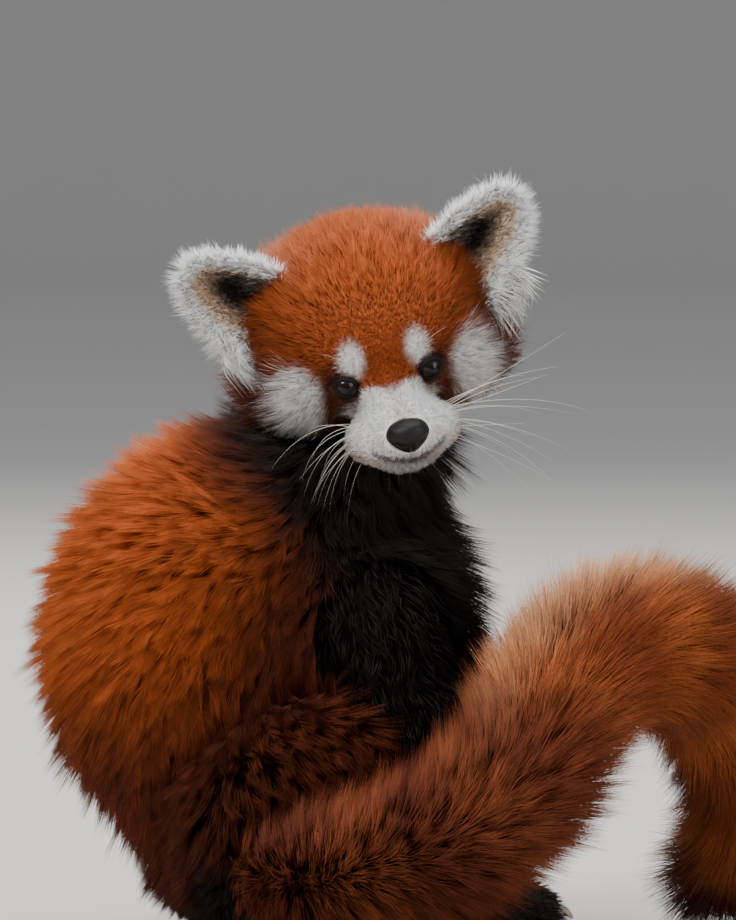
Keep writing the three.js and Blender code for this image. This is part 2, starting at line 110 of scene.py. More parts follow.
def smooth_path(points, radii, steps):
    path, width = [], []
    knots = [points[0], *points, points[-1]]
    for i in range(len(points) - 1):
        p0, p1, p2, p3 = (np.array(k, dtype=float) for k in knots[i : i + 4])
        for j in range(steps):
            t = j / steps
            bend = (2 * p0 - 5 * p1 + 4 * p2 - p3) * t * t + (3 * p1 - p0 - 3 * p2 + p3) * t**3
            path.append(0.5 * (2 * p1 + (p2 - p0) * t + bend))
            width.append(radii[i] + (radii[i + 1] - radii[i]) * t)
    path.append(np.array(points[-1], dtype=float))
    width.append(radii[-1])
    return np.array(path) * MM, np.array(width) * MM


TAIL_PATH, TAIL_WIDTH = smooth_path(TAIL_POINTS, TAIL_RADII, 4)
TAIL_STEP = np.diff(TAIL_PATH, axis=0)


def along_tail(p):
    best = np.full(len(p), 9.0)
    place = np.zeros(len(p))
    for i, step in enumerate(TAIL_STEP):
        from_start = p - TAIL_PATH[i]
        t = np.clip(from_start @ step / (step @ step), 0, 1)
        gap = np.sqrt(np.square(from_start - t[:, None] * step).sum(1))
        gap -= TAIL_WIDTH[i] + (TAIL_WIDTH[i + 1] - TAIL_WIDTH[i]) * t
        near = gap < best
        best[near] = gap[near]
        place[near] = i + t[near]
    return best, place


def trunk_hull(p):
    d = soft_min(ellipsoid(p, RIB_BARREL), ellipsoid(p, PELVIS), TRUNK_BLEND)
    return soft_min(soft_min(d, ellipsoid(p, CHEST), TRUNK_BLEND), capsule(p, NECK), TRUNK_BLEND)


# The head is built about the point between the eyes, x to the animal's left, y back and z up.
HEAD_PLACE = metres((23.5, -65, 287.4))
HEAD_TURN = (
    Matrix.Rotation(math.radians(-13), 3, "Y")
    @ Matrix.Rotation(math.radians(6), 3, "Z")
    @ Matrix.Rotation(math.radians(20.5), 3, "X")
)
HEAD_AXES = np.array(HEAD_TURN)
CRANIUM = ((0, 52, 12), (66, 58, 55))
CHEEK = ((40, 42, -8), (34, 36, 34))
BROW = ((0, 15, 14), (33, 22, 25))
MUZZLE = ((0, 7, -15), (0, -34, -18), 21, 14)
LIP = ((13, -22, -22), (17, 18, 13))
CHIN = ((0, -20, -33), (15, 16, 9))
EYE_CENTRE, EYE_RADIUS, SOCKET_ROOM = (21.25, -1.5, 0), 6.2, 0.6
HEAD_BLEND, LIP_GROOVE = 0.011, 1.5
NOSE = ((0, -41, -15), (10.5, 8, 8.5))
MOUTH = ((0, -44, -25), (0, -40, -31), (8, -38, -32), (16, -33, -31.5), (23, -25, -28), (27, -16, -23))


def to_head(p):
    return (p - HEAD_PLACE) @ HEAD_AXES


def from_head(q):
    return q @ HEAD_AXES.T + HEAD_PLACE


def other_side(mass):
    return tuple((-m[0], m[1], m[2]) if i == 0 else m for i, m in enumerate(mass))


def head_hull(q):
    d = ellipsoid(q, CRANIUM)
    for form in (CHEEK, other_side(CHEEK), BROW):
        d = soft_min(d, ellipsoid(q, form), HEAD_BLEND)
    d = soft_min(d, capsule(q, MUZZLE), HEAD_BLEND)
    for form in (LIP, other_side(LIP), CHIN):
        d = soft_min(d, ellipsoid(q, form), HEAD_BLEND)
    return d


def head_fur(q):
    back = ramp(q[:, 1], -0.004, 0.035)
    side = ramp(np.abs(q[:, 0]), 0.028, 0.06) * ramp(q[:, 1], 0.0, 0.03)
    return (2.2 + 7 * back + 7 * side) * MM


def face_details(q, d):
    near = (q[:, 1] < 0.03) & (np.abs(q[:, 0]) < 0.05)
    f, x = q[near], d[near]
    f[:, 0] = np.abs(f[:, 0])
    eye = metres(EYE_CENTRE)
    from_eye = f - eye
    ball = np.linalg.norm(from_eye, axis=1)
    x = -soft_min(-x, ball - (EYE_RADIUS + SOCKET_ROOM) * MM, 0.0006)
    for a, b in zip(MOUTH, MOUTH[1:]):
        x = -soft_min(-x, capsule(f, (a, b, LIP_GROOVE, LIP_GROOVE)), 0.0012)
    x = -soft_min(-x, ellipsoid(f, (NOSE[0], np.array(NOSE[1]) - 1.2)), 0.001)
    d[near] = x
    return d


def head_skin(p):
    q = to_head(p)
    return face_details(q, head_hull(q) + head_fur(q))


def trunk_fur(p):
    return (5 + 19 * ramp(p[:, 2], 0.008, 0.06)) * MM


SIDED = ("thigh", "foot", "arm", "paw")
REGIONS = ("trunk", *(part + side for part in SIDED for side in ("_r", "_l")), "tail", "head")
THIGHS, FEET, FORELEGS = (1, 2), (3, 4, 7, 8), (5, 6)
TAIL_REGION, HEAD_REGION = 9, 10


def thigh_skin(p, side):
    q = p * [1, side, 1]
    thigh = ellipsoid(q, THIGH) + (6 + 14 * ramp(q[:, 2], 0.01, 0.06)) * MM
    return soft_min(thigh, capsule(q, SHANK) + 0.008, 0.016)


def arm_skin(p, side):
    q = p * [1, side, 1]
    d = np.full(len(p), 9.0)
    for i in range(3):
        link = (FORELEG[i], FORELEG[i + 1], FORELEG_RADII[i], FORELEG_RADII[i + 1])
        d = np.minimum(d, capsule(q, link) + (15 - 4 * i) * MM)
    return d


def tail_skin(p):
    gap, place = along_tail(p)
    return gap + (TAIL_FUR - 4 * ramp(place, 40, 44)) * MM


def feet_skin(p, mass, side):
    q = p * [1, side, 1]
    d = capsule(q, mass) + 0.005
    front = np.array(mass[1])
    for k in range(-2, 3):
        toe = front + (7 - k * k, k * TOE_SPREAD, -3)
        d = soft_min(d, np.linalg.norm(q - metres(toe), axis=1) - 0.0066, 0.004)
    return d


TAIL_FUR = 21
SKIN_MASSES = (
    (lambda p: trunk_hull(p) + trunk_fur(p), (-160, -90, -20), (90, 90, 320), 0),
    (lambda p: thigh_skin(p, -1), (-90, -110, -20), (75, -5, 150), 26),
    (lambda p: thigh_skin(p, 1), (-90, 5, -20), (75, 110, 150), 26),
    (lambda p: feet_skin(p, HIND_FOOT, -1), (-25, -112, -20), (116, -50, 45), 10),
    (lambda p: feet_skin(p, HIND_FOOT, 1), (-25, 50, -20), (116, 112, 45), 10),
    (lambda p: arm_skin(p, -1), (-35, -90, -5), (110, 5, 220), 30),
    (lambda p: arm_skin(p, 1), (-35, -5, -5), (110, 90, 220), 30),
    (lambda p: feet_skin(p, FOREPAW, -1), (45, -65, -20), (136, 0, 50), 10),
    (lambda p: feet_skin(p, FOREPAW, 1), (45, 0, -20), (136, 65, 50), 10),
    (tail_skin, (-95, -165, -20), (265, 100, 215), 10),
    (head_skin, (-75, -130, 215), (115, 65, 390), 10),
)
FAR_AWAY = 0.03


def skin_parts(p):
    gaps = np.full((len(SKIN_MASSES), len(p)), FAR_AWAY)
    for row, (mass, low, high, _) in enumerate(SKIN_MASSES):
        near = np.all((p > metres(low)) & (p < metres(high)), axis=1)
        if near.any():
            gaps[row, near] = mass(p[near])
    return gaps


def skin_field(p):
    parts = skin_parts(p)
    d = parts[0]
    for part, (_, _, _, join) in zip(parts[1:], SKIN_MASSES[1:]):
        d = soft_min(d, part, join * MM)
    return d


def slope(field, p):
    e = 0.0004
    corners = np.array([[1, -1, -1], [-1, -1, 1], [-1, 1, -1], [1, 1, 1]], dtype=float)
    g = sum(c * field(p + c * e)[:, None] for c in corners)
    return g / np.maximum(np.linalg.norm(g, axis=1), 1e-9)[:, None]


def plain_mesh(name, verts, faces, smooth=True):
    mesh = bpy.data.meshes.new(name)
    verts, faces = np.asarray(verts, dtype=np.float32), np.asarray(faces, dtype=np.int32)
    sides = faces.shape[1]
    mesh.vertices.add(len(verts))
    mesh.vertices.foreach_set("co", verts.ravel())
    mesh.loops.add(faces.size)
    mesh.loops.foreach_set("vertex_index", faces.ravel())
    mesh.polygons.add(len(faces))
    mesh.polygons.foreach_set("loop_start", np.arange(len(faces), dtype=np.int32) * sides)
    mesh.polygons.foreach_set("use_smooth", np.full(len(faces), smooth))
    mesh.update(calc_edges=True)
    return mesh


def put(name, mesh):
    piece = bpy.data.objects.new(name, mesh)
    bpy.context.scene.collection.objects.link(piece)
    return piece


def rough_body():
    form = bmesh.new()

    def ball(centre, radii, turn=None):
        place = Matrix.Translation(Vector(centre))
        if turn is not None:
            place = place @ turn.to_4x4()
        size = Matrix.Diagonal((*[max(r, 0.004) for r in radii], 1))
        bmesh.ops.create_icosphere(form, subdivisions=4, radius=1, matrix=place @ size)

    def sausage(mass, inset):
        a, b = metres(mass[0]), metres(mass[1])
        count = max(3, int(np.linalg.norm(b - a) / (0.25 * (min(mass[2], mass[3]) * MM - inset))))
        for t in np.linspace(0, 1, count + 1):
            radius = (mass[2] + (mass[3] - mass[2]) * t) * MM - inset
            ball(a + (b - a) * t, (radius,) * 3)

    for mass in (RIB_BARREL, PELVIS, CHEST):
        low = 0.012 if mass is PELVIS else 0.022
        ball(metres(mass[0]), metres(mass[1]) - [0.02, 0.02, low])
    sausage(NECK, 0.022)
    for side in (-1, 1):
        flip = np.array([1, side, 1])
        ball(metres(THIGH[0]) * flip, metres(THIGH[1]) - [0.018, 0.018, 0.016])
        for mass, inset in ((SHANK, 0.008), (HIND_FOOT, 0.005), (FOREPAW, 0.005)):
            mass = mass if side > 0 else mirrored(mass)
            sausage(mass, inset)
        for i in range(3):
            link = (FORELEG[i], FORELEG[i + 1], FORELEG_RADII[i], FORELEG_RADII[i + 1])
            sausage(link if side > 0 else mirrored(link), 0.009)
    for point, radius in zip(TAIL_PATH, TAIL_WIDTH):
        ball(point, (radius - 0.022,) * 3)
    for mass in (CRANIUM, CHEEK, other_side(CHEEK), BROW, LIP, other_side(LIP), CHIN):
        inset = 0.009 if mass in (CRANIUM, CHEEK, other_side(CHEEK)) else 0.003
        ball(from_head(metres(mass[0])[None])[0], metres(mass[1]) - inset, HEAD_TURN)
    a, b = from_head(metres(MUZZLE[:2]))
    for t in np.linspace(0, 1, 12):
        ball(a + (b - a) * t, ((MUZZLE[2] + (MUZZLE[3] - MUZZLE[2]) * t) * MM - 0.003,) * 3)
    mesh = bpy.data.meshes.new("rough")
    form.to_mesh(mesh)
    form.free()
    rough = put("rough", mesh)
    cast = rough.modifiers.new("cast", "REMESH")
    cast.mode = "VOXEL"
    cast.voxel_size = 0.0026
    bpy.context.view_layer.update()
    evaluated = rough.evaluated_get(bpy.context.evaluated_depsgraph_get())
    made = bpy.data.meshes.new_from_object(evaluated)
    bpy.data.objects.remove(rough)
    return made


def settle(mesh, rounds):
    count = len(mesh.vertices)
    p = np.empty(count * 3)
    mesh.vertices.foreach_get("co", p)
    p = p.reshape(-1, 3)
    for _ in range(rounds):
        d = skin_field(p)
        p -= slope(skin_field, p) * np.clip(d, -0.004, 0.004)[:, None]
    p[:, 2] = np.maximum(p[:, 2], 0.0006)
    mesh.vertices.foreach_set("co", p.ravel())
    mesh.update()
    return p


skin_mesh = rough_body()
settle(skin_mesh, 3)
fine = bmesh.new()
fine.from_mesh(skin_mesh)
for reach in (0.05, 0.04):
    places = to_head(np.array([v.co for v in fine.verts]))
    face = (places[:, 1] < 0.012) & (np.abs(places[:, 0]) < reach) & (np.abs(places[:, 2]) < 0.045)
    edges = [e for e in fine.edges if face[e.verts[0].index] and face[e.verts[1].index]]
    bmesh.ops.subdivide_edges(fine, edges=edges, cuts=1, use_grid_fill=True)
    fine.verts.index_update()
    fine.verts.ensure_lookup_table()
bmesh.ops.triangulate(fine, faces=fine.faces)
fine.to_mesh(skin_mesh)
fine.free()
skin_points = settle(skin_mesh, 2)
skin_mesh.polygons.foreach_set("use_smooth", np.full(len(skin_mesh.polygons), True))

# The coat's colours
# Rust red on the back, darker low on the flank, black on the throat, chest, belly and legs, with a
# ringed tail and a white and rust face. Skin and fur read the same markings.
RUST = np.array((0.27, 0.056, 0.012))
BRIGHT_RUST = np.array((0.54, 0.118, 0.027))
DEEP_RUST = np.array((0.075, 0.016, 0.008))
BLACK = np.array((0.016, 0.011, 0.010))
OCHRE = np.array((0.46, 0.13, 0.035))
BUFF_HIGHLIGHT = np.array((0.78, 0.42, 0.20))
WHITE = np.array((0.90, 0.88, 0.85))
CREAM = np.array((0.66, 0.47, 0.34))
SMOKE = np.array((0.34, 0.31, 0.29))


def tint(base, colour, amount):
    return base + (colour - base) * amount[:, None]


def blot(x, z, centre, size, soft=0.35):
    r = np.hypot((x - centre[0]) / size[0], (z - centre[1]) / size[1])
    return 1 - ramp(r, 1 - soft, 1 + soft)


# Middle and half widths of each marking of the face, and of the painted shade on the chin, across and up, as
# seen from the front.
TEAR_STREAK = ((27, -8), (9, 20))
CHEEK_PATCH = ((46, -4), (12.5, 17))
BROW_SPOT = ((16.5, 11), (5.5, 8.5))
WHITE_MUZZLE = ((0, -25), (29.5, 18))
UNDER_EYE = ((9.5, -9.5), (6.5, 5.5))
BRIDGE_SHADE = ((0, -17), (5, 7))
CHIN_SHADE = ((0, -47), (17, 6))
EYE_RIM = ((0, 0), (7.3, 4.4))


def head_colour(p):
    q = to_head(p) / MM
    x, y = np.abs(q[:, 0]), q[:, 1]
    u = q[:, 2] * 0.937 + y * 0.35
    front = 1 - ramp(y, 34, 56)
    c = np.tile(RUST, (len(p), 1))
    c = tint(c, BRIGHT_RUST, ramp(u, 20, 60) * 0.35)
    c = tint(c, DEEP_RUST, ramp(-u, 5, 35) * ramp(y, 0, 20))
    c = tint(c, DEEP_RUST, ramp(x, 48, 62) * (1 - ramp(u, 14, 34)) * 0.8)
    c = tint(c, BLACK, ramp(-q[:, 2], 24, 42) * ramp(y, 2, 22))
    c = tint(c, DEEP_RUST, blot(x, u, *TEAR_STREAK) * front * 0.8)
    c = tint(c, WHITE, blot(x, u, *CHEEK_PATCH, 0.34) * front)
    c = tint(c, WHITE, blot(x, u, *BROW_SPOT, 0.6) * front * 0.9)
    c = tint(c, WHITE, blot(x, u, *WHITE_MUZZLE, 0.28) * (1 - ramp(y, 6, 18)))
    c = tint(c, WHITE, blot(x, u, *UNDER_EYE, 0.3) * (1 - ramp(y, 0, 8)))
    # Grey below the muzzle and a smoky chin: painted shade on the underside of the jaw.
    c = tint(c, WHITE * 0.6, ramp(-q[:, 2], 26, 34) * (1 - ramp(y, -8, 4)))
    c = tint(c, SMOKE, blot(x, u, *BRIDGE_SHADE, 0.6) * 0.6)
    c = tint(c, SMOKE, blot(x, u, *CHIN_SHADE, 0.5) * 0.45)
    lips = np.abs(u + 42 - 0.022 * x * x) + 3 * ramp(x, 16, 24)
    c = tint(c, BLACK * 2, (1 - ramp(lips, 0.6, 2.2)) * (1 - ramp(y, -14, -2)) * 0.8)
    along, across = (x - 21.2) * 0.88 + (u - 0.3) * 0.47, (u - 0.3) * 0.88 - (x - 21.2) * 0.47
    c = tint(c, BLACK, blot(along, across, *EYE_RIM, 0.35) * (1 - ramp(y, 8, 16)))
    return c


def trunk_colour(p):
    x, y, z = (p / MM).T
    c = np.tile(RUST, (len(p), 1))
    c = tint(c, BRIGHT_RUST, ramp(-x, 40, 110) * ramp(z, 80, 150))
    c = tint(c, DEEP_RUST, ramp(x - (z - 150) * 0.3, -75, -20) * 0.9)
    c = tint(c, DEEP_RUST, ramp(-z, -165, -70) * 0.75)
    # Painted shadow of the head on the neck and shoulder below it, on the head's side.
    c = tint(c, DEEP_RUST, ramp(z, 205, 240) * ramp(x, -90, -50) * (1 - ramp(y, 20, 60)) * 0.9)
    c = tint(c, BLACK, ramp(z, 222, 250) * ramp(x, -60, -20) * 0.45)
    edge = -36 + (226 - z) * 0.58
    c = tint(c, BLACK, ramp(x - edge, -12, 14))
    return tint(c, BLACK, ramp(-z, -40, -14))


def leg_colour(p):
    z = p[:, 2] / MM
    c = tint(np.tile(RUST, (len(p), 1)), DEEP_RUST, ramp(-z, -150, -90) * 0.85)
    return tint(c, BLACK, ramp(-z, -56, -34))


def tail_colour(p):
    place = along_tail(p)[1] / len(TAIL_STEP)
    rings = ramp(np.cos(place * 2 * math.pi * 6.5), -0.2, 0.7)
    c = tint(np.tile(RUST, (len(p), 1)), OCHRE, rings * 0.4)
    c = tint(c, DEEP_RUST, (1 - rings) * 0.35)
    # Painted shade on the first part of the tail, which runs low along the floor beside the body.
    c = tint(c, DEEP_RUST, (1 - ramp(place, 0.3, 0.62)) * 0.65)
    return tint(c, DEEP_RUST, ramp(place, 0.93, 0.98))


def coat_colour(p, region):
    c = np.tile(BLACK, (len(p), 1))
    painters = {"trunk": trunk_colour, "thigh_r": leg_colour, "thigh_l": leg_colour, "tail": tail_colour}
    painters["head"] = head_colour
    for name, painter in painters.items():
        here = region == REGIONS.index(name)
        if here.any():
            c[here] = painter(p[here])
    return c


# Unwrapping
# Trunk, thighs and head unroll round their middles and the tail and legs along their length, each
# into its own part of the square, so that every tuft reads the place where it grows.
ISLANDS = {"trunk": (0.02, 0.02, 0.46), "head": (0.52, 0.52, 0.46), "tail": (0.02, 0.52, 0.46)}
TRUNK_MIDDLE = metres((-35, 0, 140))
HEAD_MIDDLE = metres((0, 34, 2))
TAIL_SIDE = np.cross(TAIL_STEP, (0, 0, 1.0))
TAIL_SIDE /= np.linalg.norm(TAIL_SIDE, axis=1)[:, None]


def globe(q):
    r = np.maximum(np.linalg.norm(q, axis=1), 1e-9)
    turn = np.arctan2(q[:, 0], q[:, 1]) / (2 * math.pi) + 0.5
    return turn, np.arccos(np.clip(q[:, 2] / r, -1, 1)) / math.pi


def unwrap(p, region):
    uv = np.zeros((len(p), 2))
    for index, name in enumerate(REGIONS):
        here = region == index
        if not here.any():
            continue
        q = p[here]
        if name == "trunk":
            u, v = globe((q - TRUNK_MIDDLE) @ np.array([[0, -1, 0], [1, 0, 0], [0, 0, 1.0]]))
            corner = ISLANDS["trunk"]
        elif name == "head":
            u, v = globe((to_head(q) - HEAD_MIDDLE) * [1, -1, 1])
            corner = ISLANDS["head"]
        elif name == "tail":
            place = along_tail(q)[1]
            i = np.minimum(place.astype(int), len(TAIL_STEP) - 1)
            t = place - i
            out = q - TAIL_PATH[i] - t[:, None] * TAIL_STEP[i]
            lift = np.cross(TAIL_SIDE[i], TAIL_STEP[i])
            lift /= np.linalg.norm(lift, axis=1)[:, None]
            u = np.arctan2((out * TAIL_SIDE[i]).sum(1), -(out * lift).sum(1)) / (2 * math.pi) + 0.5
            v = place / len(TAIL_STEP)
            corner = ISLANDS["tail"]
        else:
            side = -1 if name.endswith("_r") else 1
            kind = SIDED.index(name[:-2])
            middle = metres(((-16, 60, 70), (40, 80, 14), (46, 40, 100), (90, 33, 14))[kind]) * [1, side, 1]
            u, v = globe((q - middle) * [1, side, 1])
            corner = (0.52 + 0.24 * (side > 0) + 0.115 * (kind % 2), 0.02 + 0.24 * (kind // 2), 0.1)
        width, height = (corner[2], corner[2]) if corner[2] > 0.2 else (0.095, 0.21)
        uv[here] = np.stack([corner[0] + u * width, corner[1] + v * height], 1)
    return uv


skin_faces = np.empty(len(skin_mesh.polygons) * 3, dtype=np.int32)
skin_mesh.loops.foreach_get("vertex_index", skin_faces)
skin_faces = skin_faces.reshape(-1, 3)
corners = skin_points[skin_faces]
middles = corners.mean(1)
skin_region = skin_parts(middles).argmin(0)


def write_uv(mesh, corner_points, face_region):
    sides = corner_points.shape[1]
    flat = corner_points.reshape(-1, 3)
    uv = unwrap(flat, np.repeat(face_region, sides)).reshape(-1, sides, 2)
    width = np.where(np.isin(face_region, (0, TAIL_REGION, HEAD_REGION)), 0.46, 0.095)
    spread = uv[:, :, 0].max(1) - uv[:, :, 0].min(1)
    wide = spread > width / 2
    high = uv[:, :, 0] > uv[:, :, 0].mean(1)[:, None]
    uv[:, :, 0] -= np.where(wide[:, None] & high, width[:, None], 0)
    layer = mesh.uv_layers.new(name="OFBake")
    layer.data.foreach_set("uv", np.clip(uv, 0.001, 0.999).astype(np.float32).ravel())


def write_colour(mesh, colours):
    layer = mesh.color_attributes.new("coat", "FLOAT_COLOR", "POINT")
    rgba = np.concatenate([np.clip(colours, 0, 1), np.ones((len(colours), 1))], 1)
    layer.data.foreach_set("color", rgba.astype(np.float32).ravel())


write_uv(skin_mesh, corners, skin_region)
point_region = skin_parts(skin_points).argmin(0)
face_place = to_head(skin_points)
bare_face = (point_region == HEAD_REGION) & (face_place[:, 1] < 0.02)
# The hide is painted darker than the coat over it, painted shade deep in the fur, less so on the bare front
# of the face.
undercoat_shade = np.where(bare_face, 0.8, 0.45)[:, None]
write_colour(skin_mesh, coat_colour(skin_points, point_region) * undercoat_shade)


class Wire:
    """A shader socket that can be used in sums."""

    def __init__(self, tree, socket):
        self.tree = tree
        self.socket = socket

    def node(self, kind, settings=None, **inputs):
        made = self.tree.nodes.new(kind)
        for key, value in (settings or {}).items():
            setattr(made, key, value)
        for key, value in inputs.items():
            name = int(key[1:]) if key[0] == "i" and key[1:].isdigit() else key.replace("_", " ")
            socket = made.inputs[name]
            if isinstance(value, Wire):
                self.tree.links.new(value.socket, socket)
            else:
                socket.default_value = value
        return made

    def math(self, operation, a, b):
        made = self.node("ShaderNodeMath", {"operation": operation}, i0=a, i1=b)
        return Wire(self.tree, made.outputs[0])

    def __mul__(self, other):
        return self.math("MULTIPLY", self, other)

    def __add__(self, other):
        return self.math("ADD", self, other)

    def __rsub__(self, other):
        return self.math("SUBTRACT", other, self)

    __rmul__ = __mul__
    __radd__ = __add__


def finish(name, roughness, specular=0.35, coat=0.0, sheen=0.0):
    material = bpy.data.materials.new(name)
    material.use_nodes = True
    tree = material.node_tree
    shader = tree.nodes["Principled BSDF"]
    shader.inputs["Roughness"].default_value = roughness
    shader.inputs["Specular IOR Level"].default_value = specular
    shader.inputs["Coat Weight"].default_value = coat
    shader.inputs["Sheen Weight"].default_value = sheen
    return material, tree, shader


def coat_material(name, roughness, bump):
    material, tree, shader = finish(name, roughness, specular=0.14)
    wire = Wire(tree, None)
    colour = wire.node("ShaderNodeAttribute", {"attribute_name": "coat"})
    place = Wire(tree, wire.node("ShaderNodeTexCoord").outputs["Object"])
    noise = wire.node("ShaderNodeTexNoise", Vector=place, Scale=260.0, Detail=3.0)
    grain = Wire(tree, noise.outputs["Fac"])
    shade = wire.node("ShaderNodeMix", {"data_type": "RGBA", "blend_type": "MULTIPLY"}, Factor=1.0)
    tree.links.new(colour.outputs["Color"], shade.inputs["A"])
    level = wire.node("ShaderNodeCombineColor", Red=grain * 0.5 + 0.75, Green=grain * 0.5 + 0.75)
    tree.links.new((grain * 0.5 + 0.75).socket, level.inputs["Blue"])
    tree.links.new(level.outputs[0], shade.inputs["B"])
    tree.links.new(shade.outputs["Result"], shader.inputs["Base Color"])
    tree.links.new((grain * 0.2 + (roughness - 0.1)).socket, shader.inputs["Roughness"])
    if bump:
        relief = wire.node("ShaderNodeBump", Height=grain, Strength=bump, Distance=0.0006)
        tree.links.new(relief.outputs[0], shader.inputs["Normal"])
    return material


skin_material = coat_material("short undercoat", 0.8, 0.5)
skin = put("hide", skin_mesh)
skin_mesh.materials.clear()
skin_mesh.materials.append(skin_material)
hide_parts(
    "torso",
    "neck",
    "head",
    "hind_leg_left",
    "hind_leg_right",
    "foreleg_left",
    "foreleg_right",
    *(f"tail_{i}" for i in range(1, 5)),
)
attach(skin, "root")

# Fur
# Tufts of hair, each a thin closed spike rooted in the hide. The long ones lean over along the lie of
# the coat and draw together into locks, those under the jaw, on the forelegs and hanging from the ears
# with a bend, and the short ones on face, ears and feet are straight.
fur_material = coat_material("fur", 0.6, 0)


def point_normals(mesh):
    normals = np.empty(len(mesh.vertices) * 3, dtype=np.float32)
    mesh.vertex_normals.foreach_get("vector", normals)
    return normals.reshape(-1, 3).astype(float)


def areas(triangles):
    one, two = triangles[:, 1] - triangles[:, 0], triangles[:, 2] - triangles[:, 0]
    return 0.5 * np.linalg.norm(np.cross(one, two), axis=1)


def unit(v):
    return v / np.maximum(np.linalg.norm(v, axis=1), 1e-9)[:, None]


def scatter(triangles, normals, weight, count, draw):
    total = np.cumsum(weight)
    pick = np.searchsorted(total, draw.random(count) * total[-1])
    a, b = draw.random(count), draw.random(count)
    a, b = np.where(a + b > 1, 1 - a, a), np.where(a + b > 1, 1 - b, b)
    share = np.stack([1 - a - b, a, b], 1)[:, :, None]
    return (triangles[pick] * share).sum(1), unit((normals[pick] * share).sum(1)), pick


def trunk_lie(p):
    turn = ramp(p[:, 0], -0.05, 0.02)[:, None]
    round_back = np.stack([0.13 - p[:, 2], 0 * p[:, 2], p[:, 0] + 0.04], 1) / 0.09
    return round_back * (1 - turn) + np.array([0.1, 0, -1]) * (0.5 + turn)


def tail_lie(p):
    place = along_tail(p)[1]
    way = unit(TAIL_STEP[np.minimum(place.astype(int), len(TAIL_STEP) - 1)])
    way[:, 1] *= 0.15 + 0.85 * ramp(place, 8, 18)
    return way


def head_lie(p):
    q = to_head(p)
    out = q + metres((0, 46, 12))
    out[:, 2] -= 0.03 * ramp(np.abs(q[:, 0]), 0.02, 0.05)
    from_eye = np.stack([np.abs(q[:, 0]) - EYE_CENTRE[0] * MM, q[:, 2] - EYE_CENTRE[2] * MM], 1)
    near_eye = 1 - ramp(np.linalg.norm(from_eye, axis=1), 0.007, 0.014)
    out[:, 0] += np.sign(q[:, 0]) * from_eye[:, 0] * near_eye * 3
    out[:, 2] += from_eye[:, 1] * near_eye * 3
    return from_head(out * [1.2, 1, 1]) - HEAD_PLACE


def lie_of(p, region):
    way = np.tile(np.array([0.3, 0, -1.0]), (len(p), 1))
    for name, lie in (("trunk", trunk_lie), ("tail", tail_lie), ("head", head_lie)):
        here = region == REGIONS.index(name)
        if here.any():
            way[here] = lie(p[here])
    way[np.isin(region, THIGHS)] = (0.45, 0, -0.9)
    way[np.isin(region, FEET)] = (1, 0, -0.15)
    return unit(way)


def coat_length(p, region):
    reach = 8 + 10 * ramp(p[:, 2], 0.05, 0.13)
    reach[np.isin(region, FEET)] = 5.5
    trunk = region == 0
    reach[trunk] = 8 + 22 * ramp(p[trunk, 2], 0.01, 0.06)
    thigh = np.isin(region, THIGHS)
    reach[thigh] = 8 + 18 * ramp(p[thigh, 2], 0.02, 0.07)
    reach[region == TAIL_REGION] = 29
    head = region == HEAD_REGION
    q = to_head(p[head]) / MM
    side = ramp(np.abs(q[:, 0]), 26, 56) * ramp(q[:, 1], 2, 30)
    reach[head] = 3.2 + 9.5 * ramp(q[:, 1], -6, 30) + 13 * side
    return reach * MM


def swing(draw, shape):
    return np.clip(draw.normal(0, 1, shape), -1.8, 1.8)


SPIKE = np.array([(0, 2, 1), (0, 1, 3), (1, 2, 3), (2, 0, 3)])
BENT = np.array(
    [(0, 2, 1)]
    + [(k, (k + 1) % 3, 3 + (k + 1) % 3) for k in range(3)]
    + [(k, 3 + (k + 1) % 3, 3 + k) for k in range(3)]
    + [(3 + k, 3 + (k + 1) % 3, 6) for k in range(3)]
)
PATCH = np.array([(-1, -1), (1, -1), (0, -0.8), (-0.8, 0.2), (0.8, 0.2), (0, 0.4), (0, 1)]) * 0.0014


# How far the length and the turn of the locks, and of the tufts in them, wander from the mean.
LENGTH_SWING, TURN_SWING, LEAN_SWING = (0.13, 0.12), (0.34, 0.2), 8


